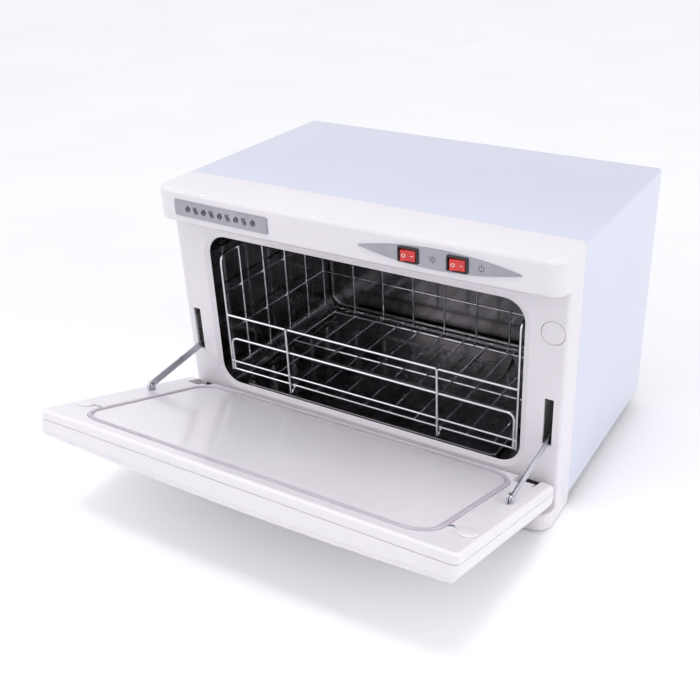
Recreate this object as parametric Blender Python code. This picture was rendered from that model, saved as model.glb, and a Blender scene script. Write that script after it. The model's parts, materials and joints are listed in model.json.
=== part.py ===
"""Hot towel cabinet: painted steel casing, moulded fascia, drop-down door on two stays, wire basket.

Lengths are metres, +Z is up, the door faces -Y and +X is to the right seen from the front.
Pieces are drawn from the seam between fascia and casing (y = 0) and from the casing's lower edge
(z = 0). The last step sets the whole cabinet down, so that the middle of its base is the origin.
"""
import math

import bmesh
import bpy
from mathutils import Matrix, Vector

# ---- driving dimensions -------------------------------------------------------------------------
GAP = 0.0003                 # clearance between pieces that touch
WIDTH = 0.450                # over the casing
CASE_HEIGHT = 0.2729
CASE_DEPTH = 0.2314          # from the seam to the rear edge
SHEET = 0.0008               # painted steel sheet
CASE_LIP = 0.2204            # inner edge of the lip that the casing turns in below its sides
FOOT_DROP = 0.0140           # from the casing's lower edge to the table
FOOT_X = 0.2070
FOOT_Y = (("front", 0.0240), ("rear", 0.2050))

# base and rear
PAN_HALF = 0.2235
PAN = (0.0010, 0.2280)       # front and rear edges of the base pan
PAN_LOW = 0.0012
PAN_SHEET = 0.0010
PANEL_HALF = 0.2229
PANEL_Y = 0.2286
PANEL_SHEET = 0.0010
PANEL_LOW = 0.0026
PANEL_HIGH = 0.2710
LOUVRE_X = (-0.1100, 0.1100)
LOUVRE_HALF = 0.0300
LOUVRE_LOW = 0.1900
LOUVRE_PITCH = 0.0110
LOUVRE_OPENING = 0.0035
GLAND_X = 0.1650
GLAND_Z = 0.0300
GLAND_HOLE = 0.0090
REAR_SCREW_X = 0.2050
REAR_SCREW_Z = (0.0200, 0.2520)
REAR_SCREW_HOLE = 0.0018

# fascia
WALL = 0.0025                # moulded plastic wall
FACE_Y = -0.0331             # recessed face around the chamber's mouth
FACE_CORNER = 0.0030
BROW_Y = -0.0570             # front of the brow and of the sill, at their ends
BROW_BOW = 0.0040            # how far their middle stands in front of their ends
BROW_CORNER = 0.0165
BROW_LOW = 0.2380
SILL_LOW = -0.0130
SILL_HIGH = 0.0070
EDGE_ROUND = 0.0030
BACK_GAP = 0.0002            # half of the seam between fascia and casing

# chamber's mouth, and the liner behind it
MOUTH_HALF = 0.1825
MOUTH_LOW = 0.0412
MOUTH_HIGH = 0.2175
MOUTH_CORNER = 0.0220
MOUTH_BEVEL = 0.0055
BEVEL_DEPTH = 0.0020
LINER_HALF = 0.1850
LINER_LOW = 0.0380
LINER_HIGH = 0.2200
LINER_CORNER = 0.0210
LINER_BACK = 0.1950
LINER_FLANGE = 0.0085
JACKET_GAP = 0.0023
JACKET_WALL = 0.0120
TRAY_HALF = (0.1580, 0.1057)
TRAY_Y = 0.0772              # middle of the drip tray
TRAY_CORNER = 0.0100
TRAY_RIM = 0.0031
THERMOSTAT_X = 0.0600
THERMOSTAT_Y = 0.0950
HEATER_LOW = (-0.1200, 0.0250)    # corners of the heating plate, seen from above
HEATER_HIGH = (0.1200, 0.1650)
HEATER_THICKNESS = 0.0015

# door: l runs up from the hinge end, t runs outwards from the inner face
DOOR_WIDTH = 0.4494
DOOR_HEIGHT = 0.2094
DOOR_CORNER = 0.0065
DOOR_SEAM = 0.0095           # t of the seam between the door's liner and its shell
DOOR_EDGE = 0.0278           # thickness at the sides
DOOR_BOW = 0.0052            # extra thickness in the middle
DOOR_ROUND = 0.0100
DOOR_SOFT = 0.0032           # rounding of the inner face's edge
END_RADIUS = DOOR_EDGE / 2   # the hinge end is a half round
HINGE_WALL = 0.0190          # the door is solid from its hinge end up to here
HINGE_Y = -0.0513
HINGE_Z = 0.02487
AXIS_DEPTH = 0.0157          # hinge axis below the inner face
END_GAP = 0.00174            # hinge axis beyond the hinge end
OPEN_ANGLE = math.radians(71.24)
NOTCH = (0.1890, 0.2120)     # x range of the notch for a hinge
NOTCH_DEPTH = 0.0160
KNUCKLE_X = (0.1914, 0.2065)
KNUCKLE_RADIUS = 0.0115
EAR_X = (0.2078, 0.2098)     # upright ear of the hinge bracket
EAR_RADIUS = 0.0060
PIN_RADIUS = 0.0022
PIN_HOLE = 0.0025
BRACKET_SHEET = 0.0015
BRACKET_TOP = 0.0300
GASKET_HALF = 0.1900
GASKET_LOW = 0.0085
GASKET_HIGH = 0.1930
GASKET_CORNER = 0.0240
GROOVE_HALF = 0.0026
GROOVE_DEPTH = 0.0022
DOOR_SCREW_X = 0.1963
DOOR_SCREW_L = 0.1625
DOOR_SCREW_HOLE = 0.0017

# stays
SLOT_X = 0.2110
SLOT_HALF = 0.0045
SLOT_LOW = 0.0745
SLOT_HIGH = 0.1250
STAY_L = 0.0748              # pivot along the door
STAY_RISE = 0.0047           # pivot above the door's inner face
STAY_LENGTH = 0.0980
STAY_OPEN = math.radians(7.0)     # slope of the stay towards the rear, door open
STAY_SHUT = math.radians(-6.0)    # and with the door shut
STAY_HALF = 0.0041
EYE_X = (0.2092, 0.2107)     # the door's eye for the stay
EYE_RADIUS = 0.0050
EYE_FOOT = 0.0050            # t of the eye's foot, behind the door's liner
ARM_X = (0.2111, 0.2131)
STAY_HOLE = 0.0020
ROLLER_RADIUS = 0.0032
GUIDE_X = (0.2150, 0.2162)
GUIDE_FLANGE = 0.2210
GUIDE_LOW = 0.0680
GUIDE_HIGH = 0.1160
GUIDE_BACK = 0.0820
TRACK_STEPS = 14
CATCH_Z = 0.1939
CATCH_RADIUS = 0.0115
PAD_L = 0.1650

# switches and plates on the brow
SWITCH_Z = 0.2555
SWITCHES = (("ozone", 0.0800), ("power", 0.1290))
ROCKER_TILT = math.radians(10.0)
SWITCH_HOLE = (0.0096, 0.0067)    # half width and half height
PLATE_SHEET = 0.0010
NAME_X = -0.1373
NAME_HALF = 0.0597
NAME_Z = (0.2465, 0.2635)
NAME_CORNER = 0.0015
CONTROL_X = 0.1079
CONTROL_HALF = (0.0812, 0.0096)
CONTROL_BLUNT = 0.0003

# basket
WIRE = 0.0015                # radius of the frame wires
INFILL = 0.0012              # radius of the wires between them
FENCE = (0.1205, 0.0925, 0.0625)   # heights of the front's wires
FENCE_POST = 0.0920          # x of the front's posts and of the feet below them
POST_SHIFT = -0.0028         # both stand a little left of the middle
RAILS = (0.1470, 0.1000)     # heights of the wires along the sides and back
UPRIGHTS = (0.0050, 0.0450, 0.0850, 0.1250)
BACK_UPRIGHT = 0.1290        # x of the outermost uprights of the back
TRAY_TOP = LINER_LOW + GAP + SHEET
BASKET_SIDE = 0.1762
BASKET_FRONT = -0.0230
BASKET_BACK = 0.1658
BASKET_TOP = 0.1920
BASKET_FLOOR = 0.0502
BASKET_END = 0.1743          # where the front's and back's wires stop short of the sides
FLOOR_FRONT = -0.0165        # first and last of the wires across under the floor
FLOOR_REAR = 0.1600
FOOT_REACH = 0.0085          # how far the basket's feet stand out beyond those wires

# lamp
LAMP_Y = 0.1720
LAMP_Z = 0.2080
LAMP_RADIUS = 0.0080
LAMP_HALF = 0.1060
HOLDER_LENGTH = 0.0120
HOLDER_HALF = 0.0110
HOLDER_DROP = 0.0120

# component plate on top of the jacket
COMPONENT_LOW = (-0.1500, 0.0300)
COMPONENT_HIGH = (0.1500, 0.1900)
COMPONENT_SHEET = 0.0011
BALLAST_LOW = (-0.1200, 0.0800)
BALLAST_HIGH = (-0.0400, 0.1200)
BALLAST_RISE = 0.0260
TERMINAL_LOW = (0.0300, 0.0950)
TERMINAL_HIGH = (0.0800, 0.1130)
TERMINAL_RISE = 0.0150

CORNER_STEPS = 4
ROUND_SEGMENTS = 18
PIN_SEGMENTS = 12
CUT = 0.0045                 # how far a cutter runs past what it cuts

# ---- materials ----------------------------------------------------------------------------------
FINISHES = {
    "painted_steel": ((0.80, 0.82, 0.90), 0.18, 0.0),
    "white_plastic": ((0.84, 0.81, 0.85), 0.30, 0.0),
    "galvanised": ((0.55, 0.56, 0.58), 0.42, 1.0),
    "liner_metal": ((0.30, 0.29, 0.31), 0.16, 1.0),
    "chrome": ((0.82, 0.82, 0.84), 0.10, 1.0),
    "bright_steel": ((0.62, 0.63, 0.66), 0.25, 1.0),
    "silver_plate": ((0.55, 0.56, 0.60), 0.32, 1.0),
    "black_plastic": ((0.02, 0.02, 0.02), 0.35, 0.0),
    "red_lens": ((0.75, 0.03, 0.02), 0.20, 0.0),
    "black_steel": ((0.025, 0.025, 0.025), 0.40, 0.0),
    "black_rubber": ((0.02, 0.02, 0.02), 0.70, 0.0),
    "seal_rubber": ((0.72, 0.69, 0.74), 0.45, 0.0),
    "glass_wool": ((0.80, 0.76, 0.55), 0.95, 0.0),
    "heater": ((0.45, 0.42, 0.38), 0.50, 1.0),
    "lamp_glass": ((0.86, 0.88, 0.95), 0.08, 0.0),
    "ceramic": ((0.85, 0.84, 0.80), 0.40, 0.0),
}


def finish(name):
    """The named Principled material, made on first use."""
    found = bpy.data.materials.get(name)
    if found:
        return found
    colour, roughness, metallic = FINISHES[name]
    made = bpy.data.materials.new(name)
    made.use_nodes = True
    shader = made.node_tree.nodes["Principled BSDF"]
    shader.inputs["Base Color"].default_value = (*colour, 1.0)
    shader.inputs["Roughness"].default_value = roughness
    shader.inputs["Metallic"].default_value = metallic
    made.diffuse_color = (*colour, 1.0)
    return made


# ---- solids: each is a pair of points and faces -------------------------------------------------
def lofted(rings, closed=False):
    """Skin rings of equal length; open lofts are capped by strips across their first and last ring."""
    count = len(rings[0])
    points = [Vector(point) for ring in rings for point in ring]
    faces = []
    for number in range(len(rings) if closed else len(rings) - 1):
        near = number * count
        far = (number + 1) % len(rings) * count
        for step in range(count):
            after = (step + 1) % count
            faces.append((near + step, near + after, far + after, far + step))
    if not closed:
        for base in (0, (len(rings) - 1) * count):
            for step in range(count // 2 - 1):
                opposite = count - 1 - step
                faces.append((base + step, base + step + 1, base + opposite - 1, base + opposite))
    return points, faces


def boxed(low, high):
    corners = [[(x, low[1], z), (x, high[1], z)] for x in (low[0], high[0]) for z in (low[2], high[2])]
    lower = [corners[0][0], corners[0][1], corners[2][1], corners[2][0]]
    upper = [corners[1][0], corners[1][1], corners[3][1], corners[3][0]]
    return lofted([lower, upper])


def extruded(outline, start, end, along="x"):
    """Prism of a 2-D outline: (y, z) run along x, (x, z) along y, or (x, y) along z."""
    place = {
        "x": lambda a, b, c: (c, a, b),
        "y": lambda a, b, c: (a, c, b),
        "z": lambda a, b, c: (a, b, c),
    }
    count = len(outline)
    points = [Vector(place[along](a, b, end_at)) for end_at in (start, end) for a, b in outline]
    faces = []
    for step in range(count):
        after = (step + 1) % count
        faces.append((step, after, count + after, count + step))
    faces.append(tuple(range(count)))
    faces.append(tuple(range(count, 2 * count)))
    return points, faces


def turned(profile, segments=ROUND_SEGMENTS, bored=False):
    """Turn (radius, height) points about Z; a bored profile closes on itself round the bore."""
    rings = []
    for radius, height in profile:
        turn = [2 * math.pi * step / segments for step in range(segments)]
        rings.append([(radius * math.cos(a), radius * math.sin(a), height) for a in turn])
    return lofted(rings, closed=bored)


def moved(solid, matrix):
    return [matrix @ point for point in solid[0]], solid[1]


def along_x(solid, x=0.0, y=0.0, z=0.0):
    """Lay a solid turned about Z along +X, with its height zero at (x, y, z)."""
    return moved(solid, Matrix.Translation((x, y, z)) @ Matrix.Rotation(math.pi / 2, 4, "Y"))


def along_y(solid, x=0.0, y=0.0, z=0.0):
    """Lay a solid turned about Z along +Y, with its height zero at (x, y, z)."""
    return moved(solid, Matrix.Translation((x, y, z)) @ Matrix.Rotation(-math.pi / 2, 4, "X"))


def sided(solid, sign):
    """Mirror a solid drawn on the right to the side that sign names."""
    return moved(solid, Matrix.Diagonal((sign, 1, 1, 1)))


def together(*solids):
    """Several solids as one mesh, for cutters and for union tools."""
    points, faces = [], []
    for solid_points, solid_faces in solids:
        base = len(points)
        points += solid_points
        faces += [tuple(base + index for index in face) for face in solid_faces]
    return points, faces


# ---- objects ------------------------------------------------------------------------------------
def frame_empty(name, parent=None, location=(0, 0, 0), tilt=0.0):
    """An empty that carries pieces; tilt turns it about X."""
    empty = bpy.data.objects.new(name, None)
    bpy.context.scene.collection.objects.link(empty)
    empty.empty_display_size = 0.02
    empty.parent = parent
    empty.location = location
    empty.rotation_euler.x = tilt
    return empty


def piece(name, solid, look, parent, bevel=0.0):
    """One named object; bevel rounds the sharp edges of a plain block."""
    mesh = bpy.data.meshes.new(name)
    mesh.from_pydata(solid[0], [], solid[1])
    shape = bmesh.new()
    shape.from_mesh(mesh)
    bmesh.ops.recalc_face_normals(shape, faces=shape.faces)
    shape.to_mesh(mesh)
    shape.free()
    mesh.shade_smooth()
    mesh.set_sharp_from_angle(angle=math.radians(35))
    made = bpy.data.objects.new(name, mesh)
    bpy.context.scene.collection.objects.link(made)
    made.parent = parent
    if look:
        mesh.materials.append(finish(look))
    if bevel:
        rounding = made.modifiers.new("edges", "BEVEL")
        rounding.width = bevel
        rounding.segments = 2
        rounding.limit_method = "ANGLE"
    return made


def combined(target, solid, operation):
    """Cut or join a hidden tool solid to the target with an exact Boolean."""
    tool = piece(f"{target.name}_{operation.lower()}_{len(target.modifiers)}", solid, None, target.parent)
    tool.hide_render = True
    tool.display_type = "WIRE"
    boolean = target.modifiers.new(tool.name, "BOOLEAN")
    boolean.solver = "EXACT"
    boolean.operation = operation
    boolean.use_self = operation == "UNION"
    boolean.object = tool
    return target


def cut(target, *solids):
    return combined(target, together(*solids), "DIFFERENCE")


def joined(target, *solids):
    return combined(target, together(*solids), "UNION")


# ---- outlines -----------------------------------------------------------------------------------
def rounded_rail(half_u, half_v, corner, stations=1, steps=CORNER_STEPS):
    """Upper half of a rounded rectangle, from its left side to its right side."""
    turn = [math.pi / 2 * step / steps for step in range(steps + 1)]
    left = [(-half_u + corner * (1 - math.cos(a)), half_v - corner * (1 - math.sin(a))) for a in turn]
    span = half_u - corner
    middle = [(span * (2 * step / (stations + 1) - 1), half_v) for step in range(1, stations + 1)]
    right = [(-u, v) for u, v in reversed(left)]
    return left + middle + right


def rounded_ring(half_u, low, high, corner, place, stations=1, steps=CORNER_STEPS):
    """Whole rounded rectangle between low and high, with place turning (u, v) into a point."""
    centre = (low + high) / 2
    rail = rounded_rail(half_u, (high - low) / 2, corner, stations, steps)
    upper = [place(u, centre + v) for u, v in rail]
    lower = [place(u, centre - v) for u, v in reversed(rail)]
    return upper + lower


def upright_ring(half_x, low, high, corner, y):
    return rounded_ring(half_x, low, high, corner, lambda u, v: (u, y, v))


def arc(centre, radius, first, last, steps):
    """Points from angle first to angle last, in degrees."""
    turn = [math.radians(first + (last - first) * step / steps) for step in range(steps + 1)]
    return [(centre[0] + radius * math.cos(a), centre[1] + radius * math.sin(a)) for a in turn]


def brow_y(x):
    """Front surface of the brow at x."""
    return BROW_Y - BROW_BOW * (1 - (x / (WIDTH / 2 - BROW_CORNER)) ** 2)


def plan_ring(z, half, front, corner, bow, back):
    """Plan outline of the fascia at one height: bowed front rail, then straight back rail."""
    rail = []
    for u, v in rounded_rail(half, 0.0, corner, stations=9):
        crown = bow * max(0.0, 1 - (u / (half - corner)) ** 2)
        rail.append((u, front - v - crown))
    return [(x, y, z) for x, y in rail] + [(x, back, z) for x, _ in reversed(rail)]


# ---- fascia -------------------------------------------------------------------------------------
def fascia_rings(wall, rounding, back):
    """Fascia outline from the sill up to the brow, wall inside its outer surface."""
    def bulged(z, front_inset=0.0, side_inset=0.0):
        return plan_ring(z, WIDTH / 2 - wall - side_inset, BROW_Y + wall + front_inset,
                         BROW_CORNER - wall - side_inset, BROW_BOW, back)

    def face(z):
        return plan_ring(z, WIDTH / 2 - wall, FACE_Y + wall, FACE_CORNER - 0.8 * wall, 0.0, back)

    turn = [math.pi / 2 * step / 3 for step in range(4)] if rounding else [math.pi / 2]
    curve = [(rounding * (1 - math.sin(a)), rounding * (1 - math.cos(a))) for a in turn]
    slope = 0.0003               # the sill's top and the brow's underside lean a little
    sill = [bulged(SILL_LOW + wall + rise, inset, inset) for inset, rise in curve]
    sill += [bulged(SILL_HIGH - wall - rise, inset) for inset, rise in reversed(curve)]
    brow = [bulged(BROW_LOW + wall + rise, inset) for inset, rise in curve]
    brow += [bulged(CASE_HEIGHT - wall - rise, inset, inset) for inset, rise in reversed(curve)]
    return sill + [face(SILL_HIGH - wall + slope), face(BROW_LOW + wall - slope)] + brow


def build_fascia(parent):
    fascia = piece("front_fascia", lofted(fascia_rings(0.0, EDGE_ROUND, -BACK_GAP)), "white_plastic", parent)
    cut(fascia, lofted(fascia_rings(WALL, 0.0, 0.003)))

    before, behind = FACE_Y - CUT, FACE_Y + WALL + CUT
    mouth = []
    for y, grow in ((before, MOUTH_BEVEL), (FACE_Y, MOUTH_BEVEL), (FACE_Y + BEVEL_DEPTH, 0), (behind, 0)):
        ring = (MOUTH_HALF + grow, MOUTH_LOW - grow, MOUTH_HIGH + grow, MOUTH_CORNER + grow)
        mouth.append(upright_ring(*ring, y))
    catch_hole = turned([(CATCH_RADIUS + GAP, -CUT), (CATCH_RADIUS + GAP, WALL + CUT)])
    holes = [lofted(mouth), along_y(catch_hole, SLOT_X, FACE_Y, CATCH_Z)]
    for sign in (-1, 1):
        slot_low = (SLOT_X - SLOT_HALF, before, SLOT_LOW)
        slot_high = (SLOT_X + SLOT_HALF, behind, SLOT_HIGH)
        holes.append(sided(boxed(slot_low, slot_high), sign))
    cut(fascia, *holes, *switch_holes())


def switch_holes():
    """Cutters through the brow for the two switch bodies."""
    half_x, half_z = SWITCH_HOLE
    near, far = BROW_Y - 3 * CUT, BROW_Y + WALL + CUT
    return [boxed((x - half_x, near, SWITCH_Z - half_z), (x + half_x, far, SWITCH_Z + half_z))
            for _, x in SWITCHES]


def on_brow(outline, out_from, out_to):
    """Thin plate that follows the brow's front; outline is a ring of (x, z)."""
    back = [(x, brow_y(x) - out_from, z) for x, z in outline]
    front = [(x, brow_y(x) - out_to, z) for x, z in outline]
    return lofted([back, front])


def build_plates(parent):
    """Name plate on the left and pointed switch plate on the right of the brow."""
    name_ring = rounded_ring(NAME_HALF, *NAME_Z, NAME_CORNER, lambda u, v: (u + NAME_X, v), 4, 2)
    piece("name_plate", on_brow(name_ring, GAP, GAP + PLATE_SHEET), "silver_plate", parent)

    half_length, half_height = CONTROL_HALF
    steps = 22
    rail = []
    for step in range(steps + 1):
        u = 2 * step / steps - 1
        rail.append((CONTROL_X + half_length * u, CONTROL_BLUNT + half_height * (1 - u * u)))
    outline = [(x, SWITCH_Z + rise) for x, rise in rail]
    outline += [(x, SWITCH_Z - rise) for x, rise in reversed(rail)]
    plate = piece("control_plate", on_brow(outline, GAP, GAP + PLATE_SHEET), "silver_plate", parent)
    cut(plate, *switch_holes())


def build_switches(parent):
    """Two rocker switches; each rocker turns about the upright pivot behind its bezel."""
    bezel_back = GAP + PLATE_SHEET + GAP
    bezel_front = bezel_back + 0.0019
    pivot_out = bezel_front - 0.0050
    pocket = (0.0086, 0.0057, 0.0006)
    body = (0.0093, 0.0064, 0.0006)
    rim = (0.0100, 0.0070, 0.0010)
    bezel = (0.0105, 0.0075, 0.0012)
    stages = [(*pocket, bezel_front - 0.0100), (*pocket, bezel_front), (*rim, bezel_front),
              (*bezel, bezel_front - 0.0006), (*bezel, bezel_back),
              (*body, bezel_back), (*body, bezel_front - 0.0145)]
    rocker_outline = [(-0.0070, 0.0066), (-0.0076, 0.0010), (-0.0074, -0.0012), (-0.0030, -0.0026),
                      (0.0030, -0.0026), (0.0074, -0.0012), (0.0076, 0.0010), (0.0070, 0.0066),
                      (0.0040, 0.0058), (0.0, 0.0055), (-0.0040, 0.0058)]
    for label, x in SWITCHES:
        slope = math.atan2(brow_y(x + 0.001) - brow_y(x - 0.001), 0.002)
        rings = []
        for half_x, half_z, corner, out in stages:
            place = lambda u, v, depth=out: (u, -depth, v)
            rings.append(rounded_ring(half_x, -half_z, half_z, corner, place, 1, 2))
        housing = piece(f"{label}_switch_body", lofted(rings), "black_plastic", parent)
        housing.location = (x, brow_y(x), SWITCH_Z)
        housing.rotation_euler.z = slope
        profile = [(u, -out) for u, out in rocker_outline]
        rocker = piece(f"{label}_rocker", extruded(profile, -0.0052, 0.0052, "z"), "red_lens", parent)
        outward = Vector((math.sin(slope), -math.cos(slope), 0.0))
        rocker.location = housing.location + outward * pivot_out
        rocker.rotation_euler.z = slope + ROCKER_TILT


# ---- casing -------------------------------------------------------------------------------------
def sheet_ring(path, thickness, y):
    """Both sides of a bent sheet whose middle line is an (x, z) path."""
    outer, inner = [], []
    for index, point in enumerate(path):
        before = Vector(path[max(index - 1, 0)])
        after = Vector(path[min(index + 1, len(path) - 1)])
        here = Vector(point)
        into = (here - before).normalized() if index else (after - here).normalized()
        out_of = (after - here).normalized() if index < len(path) - 1 else into
        normal = Vector((-(into.y + out_of.y), into.x + out_of.x)).normalized()
        reach = thickness / 2 / max(normal.dot(Vector((-into.y, into.x))), 0.5)
        outer.append((here.x + normal.x * reach, y, here.y + normal.y * reach))
        inner.append((here.x - normal.x * reach, y, here.y - normal.y * reach))
    return outer + inner[::-1]


def build_casing(parent):
    half = WIDTH / 2 - SHEET / 2
    top = CASE_HEIGHT - SHEET / 2
    bend = EDGE_ROUND - SHEET / 2
    left = [(-CASE_LIP, SHEET / 2), (-half, SHEET / 2)]
    left += [(x, z) for x, z in arc((-half + bend, top - bend), bend, 180, 90, 4)]
    path = left + [(-x, z) for x, z in reversed(left)]
    rings = [sheet_ring(path, SHEET, y) for y in (BACK_GAP, CASE_DEPTH)]
    piece("outer_casing", lofted(rings), "painted_steel", parent)
    pan = boxed((-PAN_HALF, PAN[0], PAN_LOW), (PAN_HALF, PAN[1], PAN_LOW + PAN_SHEET))
    piece("base_pan", pan, "galvanised", parent)

    foot = turned([(0.0100, -FOOT_DROP), (0.0112, -FOOT_DROP + 0.0010), (0.0098, -0.0005),
                   (0.0092, PAN_LOW - GAP)])
    for end, y in FOOT_Y:
        for side, sign in (("left", -1), ("right", 1)):
            placed = moved(foot, Matrix.Translation((sign * FOOT_X, y, 0.0)))
            piece(f"foot_{end}_{side}", placed, "black_rubber", parent)


def build_rear(parent):
    """Rear panel with two rows of louvre openings, its four screws and the cord's gland."""
    before, behind = PANEL_Y - CUT, PANEL_Y + PANEL_SHEET + CUT
    blank = boxed((-PANEL_HALF, PANEL_Y, PANEL_LOW), (PANEL_HALF, PANEL_Y + PANEL_SHEET, PANEL_HIGH))
    panel = piece("rear_panel", blank, "painted_steel", parent)
    holes = []
    for x in LOUVRE_X:
        for row in range(6):
            z = LOUVRE_LOW + LOUVRE_PITCH * row
            holes.append(boxed((x - LOUVRE_HALF, before, z),
                               (x + LOUVRE_HALF, behind, z + LOUVRE_OPENING)))
    through = behind - before
    round_hole = turned([(GLAND_HOLE, 0.0), (GLAND_HOLE, through)], 16)
    holes.append(along_y(round_hole, GLAND_X, before, GLAND_Z))
    screw_places = [(x, z) for x in (-REAR_SCREW_X, REAR_SCREW_X) for z in REAR_SCREW_Z]
    screw_hole = turned([(REAR_SCREW_HOLE, 0.0), (REAR_SCREW_HOLE, through)], PIN_SEGMENTS)
    holes += [along_y(screw_hole, x, before, z) for x, z in screw_places]
    cut(panel, *holes)

    head = PANEL_Y + PANEL_SHEET + GAP
    screw = turned([(0.0013, -0.0080), (0.0013, 0.0), (0.0035, 0.0), (0.0029, 0.0013)], PIN_SEGMENTS)
    for number, (x, z) in enumerate(screw_places, start=1):
        piece(f"rear_screw_{number}", along_y(screw, x, head, z), "bright_steel", parent)
    gland = turned([(0.0035, -0.0080), (0.0085, -0.0080), (0.0085, 0.0), (0.0120, 0.0), (0.0120, 0.0030),
                    (0.0080, 0.0045), (0.0068, 0.0085), (0.0035, 0.0085)], 16, bored=True)
    piece("cord_gland", along_y(gland, GLAND_X, head, GLAND_Z), "black_plastic", parent)


# ---- chamber ------------------------------------------------------------------------------------
def tub_rings(grow, wall, front, back, flange=0.0):
    """Open-fronted tub: up its inside from the back wall, over the front edge, back down outside."""
    def ring(offset, y):
        return upright_ring(LINER_HALF + offset, LINER_LOW - offset, LINER_HIGH + offset,
                            LINER_CORNER + offset, y)

    soft = 0.0050
    rings = [ring(grow - soft, back), ring(grow - 0.3 * soft, back - 0.3 * soft), ring(grow, back - soft)]
    rings.append(ring(grow, front))
    if flange:
        rings += [ring(grow + flange, front), ring(grow + flange, front + wall)]
        rings.append(ring(grow + wall, front + wall))
    else:
        rings.append(ring(grow + wall, front))
    rings += [ring(grow + wall, back - soft + wall / 2), ring(grow + wall - soft, back + wall)]
    return rings


def build_chamber(parent):
    flange_y = FACE_Y + WALL + GAP
    liner = tub_rings(0.0, SHEET, flange_y, LINER_BACK, LINER_FLANGE)
    piece("inner_liner", lofted(liner), "liner_metal", parent)
    inner = SHEET + JACKET_GAP
    rings = tub_rings(inner, JACKET_WALL, flange_y + 0.002, LINER_BACK + inner)
    jacket = piece("insulation_jacket", lofted(rings), "glass_wool", parent)
    plate_high = LINER_LOW - SHEET - GAP
    plate_low = plate_high - HEATER_THICKNESS
    heater = boxed((*HEATER_LOW, plate_low), (*HEATER_HIGH, plate_high))
    piece("heating_plate", heater, "heater", parent)
    place = Matrix.Translation((THERMOSTAT_X, THERMOSTAT_Y, 0))
    cut(jacket, moved(turned([(0.0110, 0.0150), (0.0110, 0.0360)]), place))
    stat = turned([(0.0060, 0.0180), (0.0080, 0.0200), (0.0080, plate_low - 0.0012),
                   (0.0066, plate_low - GAP)])
    piece("thermostat", moved(stat, place), "ceramic", parent)

    low = LINER_LOW + GAP
    tray = []
    for inset, z in ((SHEET, TRAY_TOP), (SHEET, low + TRAY_RIM), (0.0, low + TRAY_RIM), (0.0, low)):
        rail = rounded_rail(TRAY_HALF[0] - inset, TRAY_HALF[1] - inset, TRAY_CORNER - inset)
        tray.append([(u, TRAY_Y + v, z) for u, v in rail] + [(u, TRAY_Y - v, z) for u, v in reversed(rail)])
    piece("drip_tray", lofted(tray), "liner_metal", parent)


def build_lamp(parent):
    """Germicidal lamp across the back of the chamber, between two holders under its ceiling."""
    end = LAMP_RADIUS - 0.0020
    shoulder = LAMP_HALF - 0.0010
    lamp = turned([(end, -LAMP_HALF), (LAMP_RADIUS, -shoulder), (LAMP_RADIUS, shoulder),
                   (end, LAMP_HALF)], 16)
    piece("uv_lamp_tube", along_x(lamp, 0.0, LAMP_Y, LAMP_Z), "lamp_glass", parent)
    near = LAMP_HALF + GAP
    holder = boxed((near, LAMP_Y - HOLDER_HALF, LAMP_Z - HOLDER_DROP),
                   (near + HOLDER_LENGTH, LAMP_Y + HOLDER_HALF, LINER_HIGH - GAP))
    for side, sign in (("left", -1), ("right", 1)):
        piece(f"lamp_holder_{side}", sided(holder, sign), "ceramic", parent, bevel=0.0010)


def build_electrics(parent):
    """Plate on top of the jacket that carries the lamp's ballast and the terminal block."""
    plate_low = LINER_HIGH + SHEET + JACKET_GAP + JACKET_WALL + 3 * GAP
    plate_top = plate_low + COMPONENT_SHEET
    plate = boxed((*COMPONENT_LOW, plate_low), (*COMPONENT_HIGH, plate_top))
    piece("component_plate", plate, "galvanised", parent)
    foot = plate_top + GAP
    ballast = boxed((*BALLAST_LOW, foot), (*BALLAST_HIGH, plate_top + BALLAST_RISE))
    piece("lamp_ballast", ballast, "galvanised", parent, bevel=0.0012)
    block = boxed((*TERMINAL_LOW, foot), (*TERMINAL_HIGH, plate_top + TERMINAL_RISE))
    piece("terminal_block", block, "ceramic", parent, bevel=0.0010)


# ---- basket -------------------------------------------------------------------------------------
def filleted(path, radius, steps=3):
    """Round a 3-D path's inner corners."""
    points = [Vector(point) for point in path]
    rounded = [points[0]]
    for before, here, after in zip(points, points[1:], points[2:]):
        back = (before - here).normalized()
        ahead = (after - here).normalized()
        start, end = here + back * radius, here + ahead * radius
        for step in range(steps + 1):
            t = step / steps
            rounded.append(start * (1 - t) ** 2 + here * (2 * t * (1 - t)) + end * t ** 2)
    return rounded + [points[-1]]


def wire(path, radius=WIRE, sides=6, fillet=0.0):
    """Round wire along a path."""
    points = filleted(path, fillet) if fillet else [Vector(point) for point in path]
    rings = []
    side = (points[1] - points[0]).orthogonal().normalized()
    for index, here in enumerate(points):
        before = points[max(index - 1, 0)]
        after = points[min(index + 1, len(points) - 1)]
        ahead = (after - here).normalized() if after != here else (here - before).normalized()
        behind = (here - before).normalized() if before != here else ahead
        heading = (ahead + behind).normalized()
        side = (side - heading * side.dot(heading)).normalized()
        up = heading.cross(side)
        turn = [2 * math.pi * (step + 0.5) / sides for step in range(sides)]
        rings.append([here + (side * math.cos(a) + up * math.sin(a)) * radius for a in turn])
    return lofted(rings)


def wire_panel(name, wires, parent):
    """Wires welded into one panel."""
    panel = piece(name, wires[0], "chrome", parent)
    joined(panel, *wires[1:])


def spread(first, last, count):
    return [first + (last - first) * step / (count - 1) for step in range(count)]


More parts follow.
